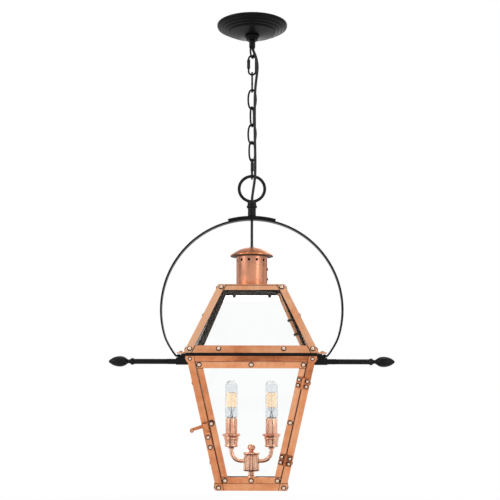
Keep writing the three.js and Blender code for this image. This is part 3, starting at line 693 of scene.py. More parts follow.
CORD_LOOK = 2.72
route = [
    [0, 0, -1.5], [0, 0, -14], [0, 0, -28], [0, 0, -40], [0.3, -0.2, -48], [1.9, -1.4, -55], [4.9, -3.4, -63], [8.1, -5.3, -72.5],
    [10.4, -6.0, -84], [11.1, -5.8, -96], [9.8, -5.5, -110], [7.8, -5.4, -127], [6.3, -5.4, -145], [5.6, -5.5, -166],
    [5.5, -5.6, -194], [5.6, -5.8, -222], [5.9, -5.8, -245], [6.4, -5.7, -268], [6.8, -6.0, -296], [6.6, -6.5, -318],
    [5.6, -5.8, -333], [3.2, -3.4, -350], [1.0, -1.0, -365], [0, 0, -379], [0, 0, -395], [0, 0, -414], [0, 0, -440],
    [0, 0, -470], [0, 0, -500], [0, 0, -525]]
for i in range(6):
    a = i / 5 * math.pi / 2
    lat = 24 * (1 - math.cos(a)) * math.sqrt(0.5)
    route.append([lat, lat, -533.8 - 24 * math.sin(a)])
route += [[29, 29, -557.8], [41, 41, -557.8], [50, 50, -557.8]]
line = catmull(route)
LINK_MID = [-69 - 36.9 * (k + 0.5) for k in range(7)]


def cut_line(pts, z0, z1):
    """The stretch of the line from height z0 down to z1, ends exact. z1 None is the far end."""
    out = []
    for i in range(len(pts) - 1):
        a, b = pts[i], pts[i + 1]
        for zc in (z0, z1):
            if zc is not None and a[2] > zc > b[2]:
                out.append(a + (b - a) * (zc - a[2]) / (b[2] - a[2]))
        inside = b[2] < z0 - 1e-6 if z1 is None else (z0 - 1e-6 > b[2] > z1 + 1e-6)
        if i == 0 and a[2] <= z0:
            out.append(a)
        if inside or (z1 is None and i > len(pts) // 2):
            out.append(b)
    return np.array(out)


def resample(pts, step):
    d = np.r_[0, np.cumsum(np.linalg.norm(np.diff(pts, axis=0), axis=1))]
    n = max(int(round(d[-1] / step)), 4)
    s = np.linspace(0, d[-1], n + 1)
    return np.c_[[np.interp(s, d, pts[:, k]) for k in range(3)]].T, d[-1]


cuts = [-1.5] + LINK_MID + [None]
for k in range(8):
    stretch, length = resample(cut_line(line, cuts[k], cuts[k + 1]), 3.2)
    v, f = sweep(stretch, circle(CORD_LOOK, 18))
    ob = new_object(f"cord_{k + 1}", v, f, M_CORD, slot="cord_jacket", sharp=60)
    z0 = cuts[k] if k else -52.0
    z1 = cuts[k + 1] if k < 7 else -352.0
    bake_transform(ob)
    if k == 0:
        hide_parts("supply_cord")


# ------------------------------------------------------------------ canopy, loop and collar
canopy_profile = rounded([
    (73.5, -0.1), (73.5, -3.4), (72.2, -6.1), (68.9, -7.7), (66.3, -7.9), (65.4, -9.5), (62.6, -11.3), (59.4, -11.5),
    (58.3, -12.9), (55.6, -14.6), (52.2, -14.9), (51.0, -16.4), (48.4, -18.2), (45.0, -18.7), (34, -20.6), (16.5, -23.2), (5.3, -23.4),
    (5.3, -22.2), (16, -22), (33.5, -19.4), (45.6, -17.2), (48, -16.4), (50.4, -14),
    (56.2, -12.2), (58, -10), (64, -8.4), (65.9, -6.4), (70.4, -4.8), (72.3, -2.6), (72.3, -0.1)], 0.9, 4)
v, f = lathe(canopy_profile, 144)
new_object("canopy_shell", v, f, M_CANOPY, "ceiling", "black_iron", ["canopy"], sharp=50)
v, f = lathe(rounded([(5.1, -23.8), (15.2, -23.8), (15.6, -26.6), (13.4, -29.6), (11.2, -31), (11.2, -34), (5.1, -34)], 0.7, 4), 96,
             mod=lambda r, z, a: ((r + (0.28 * math.cos(36 * a) if 11.3 > r > 11.0 and z < -31.2 else 0)), z))
new_object("collar_nut", v, f, M_CANOPY, "ceiling", "black_iron", ["canopy_collar_nut"], sharp=50)


def stadium(arc, straight, deg, z, per_arc=20, per_side=10):
    al = np.array([math.cos(math.radians(deg)), math.sin(math.radians(deg)), 0])
    up = np.array([0, 0, 1.0])
    pts = []
    for half in (0, 1):
        c = z + (-straight / 2 if half else straight / 2)
        for i in range(per_arc + 1):
            a = math.pi * (half + i / per_arc)
            pts.append(al * math.cos(a) * arc + up * (math.sin(a) * arc + c))
        nxt = -straight / 2 if not half else straight / 2
        e = pts[-1]
        for i in range(1, per_side):
            q = e.copy()
            q[2] = e[2] + (z + nxt - c - 0 + 0) * i / per_side if False else e[2] + ((z + nxt) - c) * i / per_side
            pts.append(q)
    return np.array(pts), np.array([-math.sin(math.radians(deg)), math.cos(math.radians(deg)), 0])


loop_path, loop_side = stadium(10.6, 2.95, 71, -59.075, 24, 4)
loop = sweep(loop_path, circle(2.0, 20), closed=True, side=loop_side)
stem = lathe(rounded([(3.5, -1.0), (4.7, -1.0), (4.7, -34.3), (6.5, -34.6), (6.5, -48.6), (5.4, -51.2), (4.8, -51.2), (4.8, -45), (3.5, -44.6)], 0.6, 3), 64)
thread = []
for k in range(22):
    thread.append(place(lathe(rounded([(4.6, -0.55), (5.02, 0), (4.6, 0.55)], 0.1, 1), 48), Matrix.Translation((0, 0, -2.4 - 1.0 * k))))
v, f, _ = merge(loop, stem, *thread)
new_object("canopy_hang_loop", v, f, M_IRON, "ceiling", "black_iron", ["canopy_loop"], sharp=45)

# ------------------------------------------------------------------ chain
def oval(a, b, n, deg, z, count=96):
    """Welded link: a blunt oval of half width a and half length b."""
    t = np.linspace(0, 2 * math.pi, 721)[:-1]
    x = a * np.sign(np.cos(t)) * np.abs(np.cos(t)) ** (2 / n)
    h = b * np.sign(np.sin(t)) * np.abs(np.sin(t)) ** (2 / n)
    d = np.r_[0, np.cumsum(np.hypot(np.diff(np.r_[x, x[0]]), np.diff(np.r_[h, h[0]])))]
    s_ = np.linspace(0, d[-1], count + 1)[:-1]
    x, h = np.interp(s_, d, np.r_[x, x[0]]), np.interp(s_, d, np.r_[h, h[0]])
    al_ = np.array([math.cos(math.radians(deg)), math.sin(math.radians(deg)), 0])
    return np.outer(x, al_) + np.outer(h + z, [0, 0, 1.0]), np.array([-al_[1], al_[0], 0])


TURN = [0, 90, 0, 65, -9, 43, 94]
LINK_NODE = ["quick_link_top", "chain_link_2", "chain_link_3", "chain_link_4", "chain_link_5", "chain_link_6", "quick_link_bottom"]
STRAIGHT = 36.9 + 0.5 + 3.66 - 14.84
for k in range(7):
    path, side = stadium(7.42, STRAIGHT, TURN[k], LINK_MID[k], 20, 26)
    quick = k in (0, 6)
    if not quick:
        path, side = oval(8.0, STRAIGHT / 2 + 7.42, 2.35, TURN[k], LINK_MID[k])
    al = np.array([math.cos(math.radians(TURN[k])), math.sin(math.radians(TURN[k])), 0])
    scale = []
    for p in path:
        s = 1.0
        along = float(p @ al)
        if not quick and along > 7.2 and abs(p[2] - LINK_MID[k]) < 2.6:
            s = 1.0 + 0.13 * math.cos((p[2] - LINK_MID[k]) / 2.6 * math.pi / 2) ** 0.7
        if quick and along < -7.2 and abs(p[2] - (LINK_MID[k])) < 12.4:
            s = 0.96 + 0.05 * math.cos(p[2] * 2 * math.pi / 1.1)
        scale.append(s)
    part = sweep(path, circle(1.95, 20), closed=True, side=side, scale=scale)
    new_object(LINK_NODE[k] + "_bar", *part, M_IRON, f"link_{k + 1}", "black_iron", [LINK_NODE[k]], sharp=50)
    if quick:
        z0, z1 = (-94.6, -75.6) if k == 0 else (-315, -296.2)
        prof = rounded([(2.1, z0), (3.1, z0), (3.75, z0 + 1.3), (3.75, z1 - 1.3), (3.1, z1), (2.1, z1)], 0.3, 2)

        def hexed(r, z, a):
            if r < 2.3:
                return r, z
            h = math.cos(math.pi / 6) / math.cos(((a + math.pi / 6) % (math.pi / 3)) - math.pi / 6)
            return min(r, 3.75 * h * 1.03), z
        nv, nf = lathe(prof, 60, mod=hexed)
        c = -al * 7.42
        part = place((nv, nf), Matrix.Translation((c[0], c[1], 0)))
        node = LINK_NODE[k] + "_nut"
        new_object(node + "_sleeve", *part, M_IRON_SMOOTH, f"link_{k + 1}", "black_iron", [node], sharp=25)

# ------------------------------------------------------------------ ring, coupler, crown, yoke, arms
ang = np.linspace(0, 2 * math.pi, 121)[:-1]
ring_path = np.c_[26.25 * np.cos(ang), 0 * ang, -350.4 + 26.25 * np.sin(ang)]
ring = sweep(ring_path, circle(3.15, 24), closed=True, side=(0, 1, 0))
neck = lathe(rounded([(4, -385), (9.1, -385), (9.1, -378.4), (6.4, -375.2), (4, -374.6)], 1.2, 5), 72)
v, f, _ = merge(ring, neck)
new_object("ring_forging", v, f, M_IRON, "lantern", "black_iron", ["hanging_ring"], sharp=45)
v, f = lathe(rounded([(4, -385.3), (9.9, -385.3), (10.7, -386.3), (10.7, -389.3), (9.9, -390.4), (8.3, -390.9), (8.3, -396.2), (7.9, -397.0),
                      (8.3, -397.8), (8.3, -407.2), (4, -407.2)], 0.5, 3), 96)
new_object("stem_sleeve", v, f, M_IRON, "lantern", "black_iron", ["stem_coupler"], sharp=45)

r = 184.5 + 0.3 + 2.25
pts, sc = [], []
for i in range(49):
    a = math.radians(15.0 * (i / 24 - 1))
    pts.append((r * math.sin(a), 0, -597 + r * math.cos(a)))
v, f = sweep(pts, rrect(4.5, 18, 1.0, 4), side=(0, 1, 0))
new_object("crown_bar", v, f, M_IRON, "lantern", "black_iron", ["crown_plate"], sharp=45)

half = []
for i in range(81):
    a = math.radians(106.8 * i / 80)
    half.append((182.9 * math.sin(a), -597 + 182.9 * math.cos(a)))
ex, ez = half[-1]
B = [np.array(p, float) for p in ((ex, ez), (ex - 4, ez - 13.5), (161.5, -678), (154.2, -688))]
for i in range(1, 17):
    s = i / 16
    q = (1 - s) ** 3 * B[0] + 3 * s * (1 - s) ** 2 * B[1] + 3 * s * s * (1 - s) * B[2] + s ** 3 * B[3]
    half.append(tuple(q))
foot = catmull([(156.6, 0, -685.2), (154.2, 0, -688), (151.9, 0, -690.6), (148.8, 0, -692.2), (145.5, 0, -692.6), (138, 0, -692.6)], 5)
half += [(p[0], p[2]) for p in foot[6:]]
full = [(-x, 0, z) for x, z in reversed(half[1:])] + [(x, 0, z) for x, z in half]
v, f = sweep(full, rrect(3.4, 18, 0.8, 3), side=(0, 1, 0))
new_object("yoke_bar", v, f, M_IRON, "lantern", "black_iron", ["yoke_hoop"], sharp=45)

arm_profile = [(0, 168.9), (4.6, 168.9), (5.2, 169.5), (5.2, 233.0), (5.5, 235.4), (6.6, 236.9), (7.0, 239), (6.6, 241.0), (5.3, 242.4), (4.1, 244.2),
               (3.7, 245.6), (4.2, 248.0), (5.6, 249.9), (7.3, 252.2), (9.0, 255.2), (10.1, 258.8), (10.5, 262.6), (10.4, 266.6), (9.8, 270.6),
               (8.6, 275.2), (6.8, 279.2), (4.6, 282.6), (2.6, 285.2), (1.3, 286.2), (0, 286.5)]
for side, s in (("left", -1), ("right", 1)):
    part = lathe(rounded(arm_profile, 0.8, 2, closed=False), 64, closed=False)
    m = basis((0, 0, 1 * s), (0, 1, 0) if s > 0 else (0, 1, 0), (s, 0, 0), (0, 0, -702.5))
    m = basis((0, 1, 0), (0, 0, 1), (1, 0, 0), (0, 0, -702.5)) if s > 0 else basis((0, -1, 0), (0, 0, 1), (-1, 0, 0), (0, 0, -702.5))
    new_object(f"arm_{side}_bar", *place(part, m), M_IRON_CAST, "lantern", "black_iron", [f"side_arm_{side}"], sharp=50)

# bolts through the yoke's feet
bolts = []
for s in (-1, 1):
    head = lathe(rounded([(0, 0), (4.3, 0), (4.3, 0.6), (3.6, 2.0), (2.0, 2.9), (0, 3.2)], 0.5, 3, closed=False), 32, closed=False)
    bolts.append(place(head, Matrix.Translation((s * 146.0, 0, -690.9))))
v, f, _ = merge(*bolts)
new_object("yoke_bolts", v, f, M_IRON_CAST, "lantern", "black_iron")

# ------------------------------------------------------------------ chimney and cap
cap_out = [(4.2, -472.0), (12, -472.9), (20, -474.9), (27, -478.0), (33, -481.2), (37.5, -484.3), (41, -486.6), (43.5, -488.4)]
cap_prof = rounded(cap_out + [(43.5, -490.5), (42.2, -490.5), (42.2, -488.8), (39, -486.6), (32.4, -481.9), (23.6, -477.6), (12, -474.4), (4.2, -473.4)], 1.0, 4)
v, f = lathe(cap_prof, 128)
new_object("cap_spun", v, f, M_CAP, "lantern", "copper", ["chimney_cap"], sharp=45)
v, f = lathe(rounded([(3.0, -470.9), (5.0, -470.9), (5.6, -471.6), (5.6, -472.4), (3.4, -472.4)], 0.4, 3), 48)
new_object("cap_grommet", v, f, M_RUBBER, "lantern", "cord_jacket")


def chimney_mesh():
    seg, R0, R1 = 180, 31.3, 30.3
    prof = rounded([(R0, -552.7), (R0, -492.4), (33.0, -490.2), (41.6, -490.1), (41.6, -489.2), (R1, -489.2), (R1, -552.7)], 0.3, 2)
    v, f = lathe(prof, seg)
    ob = new_object("chimney_tube", v, f, M_TUBE)
    cutters = []
    for i in range(12):
        a = math.radians(-10 + 30 * i)
        d = Vector((math.sin(a), -math.cos(a), 0))
        c = sweep([tuple(d * 27), tuple(d * 36)], circle(2.6, 28), side=(0, 0, 1))
        cutters.append(place(c, Matrix.Translation((0, 0, -499.6))))
    cv, cf, _ = merge(*cutters)
    tool = new_object("vent_tool", cv, cf, None)
    mod = ob.modifiers.new("vents", "BOOLEAN")
    mod.operation, mod.solver, mod.object = "DIFFERENCE", "EXACT", tool
    dg = bpy.context.evaluated_depsgraph_get()
    me = bpy.data.meshes.new_from_object(ob.evaluated_get(dg))
    old = ob.data
    ob.modifiers.clear()
    ob.data = me
    bpy.data.meshes.remove(old)
    bpy.data.objects.remove(tool)
    me.polygons.foreach_set("use_smooth", [True] * len(me.polygons))
    me.set_sharp_from_angle(angle=math.radians(35))
    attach(ob, "lantern")
    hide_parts("chimney")
    return ob


chimney_mesh()
# lapped seam up the right of the tube
lap = []
for i in range(9):
    a = math.radians(74 + 18 * i / 8)
    lap.append((31.62 * math.sin(a), -31.62 * math.cos(a), 0))
lv, lf = [], []
n = len(lap)
for zz in (-552.4, -493.2):
    for r_ in (31.3, 31.95):
        for i in range(n):
            a = math.radians(74 + 18 * i / (n - 1))
            lv.append((r_ * math.sin(a), -r_ * math.cos(a), zz))
for i in range(n - 1):
    for a, b in ((0, 1), (1, 3), (3, 2), (2, 0)):
        lf.append((a * n + i, a * n + i + 1, b * n + i + 1, b * n + i))
lf += [(0, n, 3 * n, 2 * n), (n - 1, 2 * n - 1, 4 * n - 1, 3 * n - 1)]
new_object("chimney_lap", lv, lf, M_TUBE, "lantern", "copper")

# ------------------------------------------------------------------ light cluster
FLUTES = 18


def fluted(r, z, a):
    if -917.3 < z < -884.6 and r > 9:
        f_ = min(1.0, (-884.6 - z) / 3.0) * min(1.0, (r - 9) / 4.0)
        return r - 1.75 * f_ * (0.5 + 0.5 * math.cos(FLUTES * a)) ** 1.3, z
    return r, z


col_pts = [(0, -946.8), (4.6, -946.8), (4.6, -945.3), (22, -945.3), (22, -943.6), (19.4, -942), (9.5, -940.6), (6.6, -938.6), (5.6, -936), (5.6, -931), (8.4, -929.6),
           (8.8, -927.7), (8.4, -926), (5.9, -924.6), (5.6, -917.2), (9.0, -916.9), (13.6, -916.6), (15.6, -916.1), (16.0, -913.4), (15.7, -906), (15.3, -900), (14.8, -892), (14.2, -884.6),
           (15.6, -884.2), (16.3, -882.6), (16.2, -881.0), (15.0, -880.2), (12, -879.4), (5.4, -878.8), (4.3, -877.6), (4.6, -876.4),
           (6.6, -875.2), (7.6, -873.4), (7.9, -871.2), (7.6, -869.0), (6.5, -866.9), (4.6, -865.3), (2.4, -864.6), (0, -864.4)]
fine_pts = []
rp = rounded(col_pts, 0.45, 2, closed=False)
for (r0, z0), (r1, z1) in zip(rp, rp[1:]):
    n = max(1, int(math.hypot(r1 - r0, z1 - z0) / 1.2))
    for i in range(n):
        fine_pts.append((r0 + (r1 - r0) * i / n, z0 + (z1 - z0) * i / n))
fine_pts.append(rp[-1])
column = lathe(fine_pts, 144, closed=False, mod=fluted)
parts = [column]
for s in (-1, 1):
    path = catmull([(s * x, 0, z) for x, z in ((39.7, -866.0), (39.7, -873), (39.1, -881), (36.0, -888.8), (30.0, -894.6), (21, -897), (9, -897))], 8)
    parts.append(sweep(path, circle(3.9, 28), side=(0, 1, 0)))
    parts.append(place(lathe(rounded([(3.0, 0), (6.2, 0), (6.2, 1.3), (5.0, 2.4), (3.0, 2.4)], 0.5, 3), 48), Matrix.Translation((s * 39.7, 0, -873.4))))
    fl = lathe(rounded([(3.0, 0), (6.4, 0), (6.0, 1.2), (4.6, 2.2), (3.0, 2.2)], 0.4, 3), 40)
    parts.append(place(fl, basis((0, 1, 0), (0, 0, 1), (1, 0, 0), (13.6, 0, -897)) if s > 0 else basis((0, -1, 0), (0, 0, 1), (-1, 0, 0), (-13.6, 0, -897))))
v, f, _ = merge(*parts)
new_object("cluster_casting", v, f, M_ANTIQUE, "lantern", "antique_copper", ["cluster_body"], sharp=50)

for side, s in (("left", -1), ("right", 1)):
    at = Matrix.Translation((s * 39.7, 0, 0))
    cup = lathe(rounded([
        (4.4, -870.5), (9.0, -870.5), (12.6, -869.4), (13.4, -867.6), (13.0, -865.8), (12.2, -864.6), (12.6, -861.5), (13.3, -857.6), (13.6, -855.4), (14.4, -854.4),
        (14.5, -852.6), (13.9, -851.6), (15.2, -849.8), (17.2, -848.2), (18.2, -846.8), (18.2, -845.2), (17.6, -844.6),
        (17, -844.8), (16.6, -846.8), (15, -848.4), (13, -850.4), (12.2, -852.6), (11.9, -863.2), (11.2, -866.4), (4.4, -867.2)], 0.6, 3), 96)
    new_object(f"cup_{side}", *place(cup, at), M_ANTIQUE, "lantern", "antique_copper", [f"candle_cup_{side}"], sharp=50)
    sleeve = lathe(rounded([(11.7, -862.8), (11.7, -814.9), (11.3, -814.2), (10.7, -814.2), (10.7, -862.8)], 0.25, 2), 96)
    new_object(f"sleeve_{side}", *place(sleeve, at), M_ANTIQUE_B, "lantern", "antique_copper", [f"candle_sleeve_{side}"], sharp=50)
    socket = lathe(rounded([(0, -863.8), (10.2, -863.8), (10.2, -816.6), (9.4, -816), (7.2, -816), (6.7, -817), (6.7, -842), (0, -842)], 0.4, 3, closed=False), 64, closed=False)
    new_object(f"socket_{side}", *place(socket, at), M_PHENOLIC, "lantern", "black_phenolic", [f"lamp_socket_{side}"], sharp=40)
    b = f"bulb_{side}"
    glass_out = [(6.4, -813.4), (9.4, -813.0), (11.4, -812.0), (12.3, -809.6), (12.3, -751.0), (12.0, -748.0), (11.0, -745.0), (9.2, -742.6), (6.6, -741.0), (3.4, -740.2), (0, -740)]
    wall = 0.85
    glass_in = [(0, -740 - wall), (3.2, -740.2 - wall), (6.2, -741.0 - wall), (8.5, -743.3), (10.2, -745.5), (11.15, -748.3), (12.3 - wall, -751.2), (12.3 - wall, -809.4), (10.7, -811.3), (9.1, -812.1), (6.4, -812.5)]
    out = rounded(glass_out, 1.0, 3, closed=False)
    inn = rounded(glass_in, 0.8, 3, closed=False)
    glass = lathe(out + inn, 80, closed=False)
    # close the seam at the neck
    gv, gf = glass
    seg = 80
    n_out = len(out)
    last = len(gv) - seg
    for k in range(seg):
        gf.append((k, last + k, last + (k + 1) % seg, (k + 1) % seg))
    g = new_object(f"bulb_{side}_envelope", *place((gv, gf), at), M_BULB, b, "bulb_glass", [f"bulb_{side}"], sharp=60)
    g.visible_shadow = False
    base = lathe(rounded([(0, -841), (2.2, -840.6), (4.6, -838.4), (5.9, -837), (5.9, -818), (6.2, -816.4), (6.2, -813.6), (3.0, -812.6), (0, -812.6)], 0.4, 3, closed=False), 48, closed=False,
                 mod=lambda r, z, a: (r - (0.28 * (0.5 + 0.5 * math.cos((z * 2 * math.pi / 2.2) + a)) if (5.5 < r < 6.0 and z < -819) else 0), z))
    new_object(f"bulb_{side}_base", *place(base, at), M_STEEL, b, "bulb_glass", sharp=50)
    zone = lathe(rounded([(10.4, -792.6), (10.7, -791.8), (10.7, -764.4), (10.4, -763.6), (10.2, -763.6), (10.2, -792.6)], 0.2, 2), 64)
    z_ob = new_object(f"bulb_{side}_glow", *place(zone, at), M_GLOW, b, "bulb_glass", sharp=60)
    z_ob.visible_shadow = False
    # stem, support wires and the looped filament
    st = [lathe(rounded([(0, -812.8), (3.6, -812.8), (2.6, -808.6), (1.5, -803), (1.15, -796), (1.0, -794), (0.5, -793.4), (0, -793.3)], 0.4, 3, closed=False), 28, closed=False)]
    o = new_object(f"bulb_{side}_stem", *place(st[0], at), M_BULB, b, "bulb_glass", sharp=60)
    o.visible_shadow = False
    wires = []
    for q in (-1, 1):
        wires.append(sweep(catmull([(q * 0.9, 0, -812), (q * 1.0, 0, -806), (q * 1.6, 0, -801.5), (q * 4.6, 0.4, -796.5), (q * 6.6, 0.6, -793.2)], 6), circle(0.42, 8)))
    wires.append(sweep([(0, 0, -806), (0, 0, -790), (0, 0, -764)], circle(0.38, 8)))
    wires.append(sweep([(-6.4, 0, -763.9), (0, 0, -763.7), (6.4, 0, -763.9)], circle(0.42, 8)))
    wires.append(sweep([(0, -6.0, -763.9), (0, 0, -763.7), (0, 6.0, -763.9)], circle(0.30, 8)))
    wires.append(sweep([(-6.4, 0, -793.0), (0, 0, -793.4), (6.4, 0, -793.0)], circle(0.30, 8)))
    wv, wf, _ = merge(*wires)
    new_object(f"bulb_{side}_wires", *place((wv, wf), at), M_NICKEL, b, "bulb_glass", sharp=60)
    strands = []
    for i in range(10):
        a = 2 * math.pi * (i + 0.25) / 10
        r_ = 6.6
        zz = np.linspace(-792.8, -764.2, 15)
        strands.append(sweep([((r_ + 0.25 * math.sin(3 * q)) * math.cos(a + 0.02 * math.sin(5 * q)), (r_ + 0.25 * math.sin(3 * q)) * math.sin(a), q) for q in zz], circle(0.17, 6)))
    sv, sf, _ = merge(*strands)
    new_object(f"bulb_{side}_filament", *place((sv, sf), at), M_FIL, b, "bulb_glass", sharp=80)

# ------------------------------------------------------------------ door furniture
u_axis = Vector((1, 0, 0))
v_axis = Vector((0, SLOPE_B, 1.0)) * -1
v_axis = Vector((0, -SLOPE_B, 1.0)).normalized()
DOOR_UP = Vector((0, NB.z, -NB.y)).normalized()  # up the slope of the front, in its plane
# latch lever: a flat bar, its pivot end round, its tip rolled into a scroll
PIVOT = Vector(on_body(-75, -819.3, 0)[0])
drop = math.radians(19)
L_AX = Vector((-math.cos(drop), 0, 0)) + DOOR_UP * -math.sin(drop)
S_AX = NB.cross(L_AX).normalized()
if S_AX.z < 0:
    S_AX = -S_AX
lever_m = basis(L_AX, S_AX, NB, PIVOT)
if lever_m.to_3x3().determinant() < 0:
    pass
outline = [(-2.0, 4.6), (10.0, 4.6), (16.0, 4.2), (21.0, 3.2), (34.0, 2.9), (38.2, 2.6), (38.2, -2.6), (34.0, -2.9), (21.0, -3.2), (16.0, -4.2), (10.0, -4.6), (-2.0, -4.6)]
arc = [(-2.0 - 4.0 * math.sin(a), -4.6 * math.cos(a)) for a in np.linspace(0, math.pi, 11)[1:-1]]
bar = slab(outline + arc, 1.3, 3.2, 0.35, 2)
scroll = []
for i in range(33):
    a = math.radians(95 - 470 * i / 32)
    rr = 3.6 - 2.1 * i / 32
    scroll.append((39.0 + rr * math.cos(a), -1.4 + rr * math.sin(a), 2.35))
scroll = [(34.5, 1.5, 2.35), (36.8, 2.0, 2.35)] + scroll
roll_ = sweep(scroll, rrect(1.9, 4.4, 0.5, 3), side=(0, 0, 1))
hub = lathe(rounded([(0, 0.3), (3.0, 0.3), (3.0, 3.0), (5.3, 3.1), (5.6, 3.5), (5.0, 4.6), (3.4, 5.3), (1.4, 5.6), (0, 5.7)], 0.4, 3, closed=False), 48, closed=False)
v, f, _ = merge(bar, roll_)
new_object("latch_bar", *place((v, f), lever_m), M_LATCH, "latch", "copper", ["latch_lever"], sharp=40)

# ------------------------------------------------------------------ rivets
def dome(r=4.3, h=2.3, flare=1.0, seg=28):
    prof = [(0, h), (0.25 * r, 0.985 * h), (0.48 * r, 0.90 * h), (0.68 * r, 0.74 * h), (0.84 * r, 0.52 * h), (0.95 * r, 0.27 * h), (r, 0.10 * h),
            (r + flare * 0.6, 0.12), (r + flare, 0.03), (r + flare, -0.05), (0, -0.05)]
    rims = [0, 0.1, 0.25, 0.45, 0.66, 0.84, 0.97, 1.1, 1.15, 1.15, 1.15]
    v, f = lathe(prof, seg, closed=False)
    vals = []
    for (pr, _), q in zip(prof, rims):
        vals += [q] * (1 if pr < 1e-6 else seg)
    return v, f, vals


def frame_at(p, n):
    n = Vector(n).normalized()
    x = Vector((0, 0, 1)).cross(n)
    if x.length < 1e-3:
        x = Vector((1, 0, 0))
    x.normalize()
    return basis(x, n.cross(x), n, p)


def rivets(name, body_name, spots, slot="copper", **kw):
    parts = [place(dome(*s[2:]), frame_at(s[0], s[1])) for s in spots]
    v, f, vals = merge(*parts)
    me_attr = {"rim": vals}
    ob = new_object(name, v, f, M_RIVET, body_name, slot, sharp=75, attrs=me_attr)
    return ob


spots = []
for t_ in range(4):
    for s in (-1, 1):
        spots.append((*on_roof(s * (roof(-559) - 8.2), -559, 0.0, t_), 4.3, 2.4))
        spots.append((*on_roof(s * (roof(-680.3) - 8.0), -680.3, 0.0, t_), 4.3, 2.4))
        spots.append((*on_roof(s * 61, -679.6, -1.35, t_), 4.2, 2.3))
        if t_ in (1, 3):
            spots.append((*on_roof(s * (roof(-614.5) - 7.5), -614.5, 0.0, t_), 3.3, 2.1))
        spots.append((*on_body(s * (body(-698.6) - 6.2), -698.6, 1.83, t_), 3.1, 1.7))
        spots.append((*on_body(s * (body(-941.0) - 5.6), -941.0, 1.83, t_), 4.1, 2.2))
        if t_:
            spots.append((*on_body(s * (body(-745) - 7), -745, 0.0, t_), 3.3, 1.9))
            spots.append((*on_body(s * (body(-895) - 7), -895, 0.0, t_), 3.3, 1.9))
    if t_ == 2:
        spots.append((*on_body(0, -698.4, 1.47, t_), 3.4, 1.9))
for z_ in (-845.6, -864.6):
    spots.append((*on_body(-(body(z_) - 7), z_, 1.45), 3.9, 2.2))
for z_ in (-517.2, -537.2):
    a = math.radians(83)
    n_ = (math.sin(a), -math.cos(a), 0)
    spots.append(((n_[0] * 31.9, n_[1] * 31.9, z_), n_, 2.6, 1.8))
rivets("rivets_lantern", "lantern", spots)

spots = []
for z_ in (-709.8, -927.6):
    dh = body(z_) - 14.8
    for x_ in (-(dh - 5.9), 0, dh - 5.9):
        spots.append((*on_body(x_, z_, 0.98), 4.2, 2.3))
spots.append((*on_body(body(-818.3) - 14.8 - 6.2, -818.3, 0.0), 4.2, 2.3))
rivets("rivets_door", "door", spots)


def hinge_frame(z):
    a = Vector(on_body(body(-700) - 14.4, -700, 3.2)[0])
    b = Vector(on_body(body(-900) - 14.4, -900, 3.2)[0])
    zz = (a - b).normalized()
    yy = -NB
    xx = yy.cross(zz)
    return basis(xx, yy, zz, on_body(body(z) - 14.4, z, 3.2)[0])


frame_spots, door_spots, pins = [], [], []
for z_ in (-744, -889):
    m = hinge_frame(z_)
    for dz in (-5.2, 5.2):
        frame_spots.append((tuple(m @ Vector((7.9, 1.72, dz))), tuple(NB), 3.3, 2.2))
        door_spots.append((tuple(m @ Vector((-7.9, 1.72, dz))), tuple(NB), 3.3, 2.2))
    for dz in (-10.5, 10.5):
        head = lathe(rounded([(0, 1.5), (1.2, 1.3), (2.0, 0.7), (2.2, 0.0), (0, 0.0)], 0.3, 2, closed=False), 24, closed=False)
        mm = m @ (Matrix.Translation((0, 0, dz)) @ (Matrix.Identity(4) if dz > 0 else Matrix.Rotation(math.pi, 4, "X")))
        pins.append(place(head, mm))
rivets("rivets_hinge_frame", "lantern", frame_spots)
rivets("rivets_hinge_door", "door", door_spots)
v, f, _ = merge(*pins)
new_object("hinge_pin_heads", v, f, M_LEAF, "lantern", "copper")
hub_m = basis(u_axis, DOOR_UP, NB, PIVOT)
hv, hf = hub
vals = [min(1.15, math.hypot(p[0], p[1]) / 5.6 * 1.0) for p in hv]
hp = place((hv, hf), hub_m)
new_object("latch_pivot", hp[0], hp[1], M_RIVET, "latch", "copper", sharp=60, attrs={"rim": vals})

# ear screws on the eave's side tabs
ears = []
for s in (-1, 1):
    head = lathe(rounded([(0, 0), (4.0, 0), (4.0, 0.8), (3.2, 2.2), (1.6, 2.9), (0, 3.1)], 0.5, 3, closed=False), 32, closed=False)
    ears.append(place(head, Matrix.Translation((s * 142.0, 0, -683.9))))
v, f, _ = merge(*ears)
new_object("ear_screws", v, f, M_BRASSY, "lantern", "copper")

# black iron band between the roof and the cage, with the end plates that meet the arm brackets; the band is partly a
# real iron strap and partly painted shade, standing in for the shadow under the eave over the copper there
frame_parts = [lathe([(1, -693.7), (1, -688.25), (0.965, -688.25), (0.965, -693.7)], 4)]
k_ = 122.6 * math.sqrt(2)
fv = [(p[0] * k_, p[1] * k_, p[2]) for p in place(frame_parts[0], Matrix.Rotation(math.pi / 4, 4, "Z"))[0]]
frame_parts = [(fv, frame_parts[0][1])]
for s in (-1, 1):
    plate_ = slab(rrect(17.5, 17, 1.2, 3), -694.3, -687.1, 0.5, 2)
    frame_parts.append(place(plate_, Matrix.Translation((s * 132.6, 0, 0))))
v, f, _ = merge(*frame_parts)
new_object("arm_frame", v, f, M_IRON, "lantern", "black_iron", sharp=30)

# dark strip behind the slot below the door: painted shadow, so the slot reads dark instead of showing the backdrop
# through it
q0, q1 = -933.88, -933.34
sv_ = []
for w_ in (-0.8, 0.3):
    sv_ += [on_body(x_, z_, w_)[0] for x_, z_ in ((-(body(q0) - 15.2), q0), (body(q0) - 15.2, q0), (body(q1) - 15.2, q1), (-(body(q1) - 15.2), q1))]
new_object("door_slot_shadow", sv_, [(0, 1, 2, 3), (7, 6, 5, 4)] + [(i, i + 4, (i + 1) % 4 + 4, (i + 1) % 4) for i in range(4)], M_RUBBER, "lantern", "copper", sharp=25)

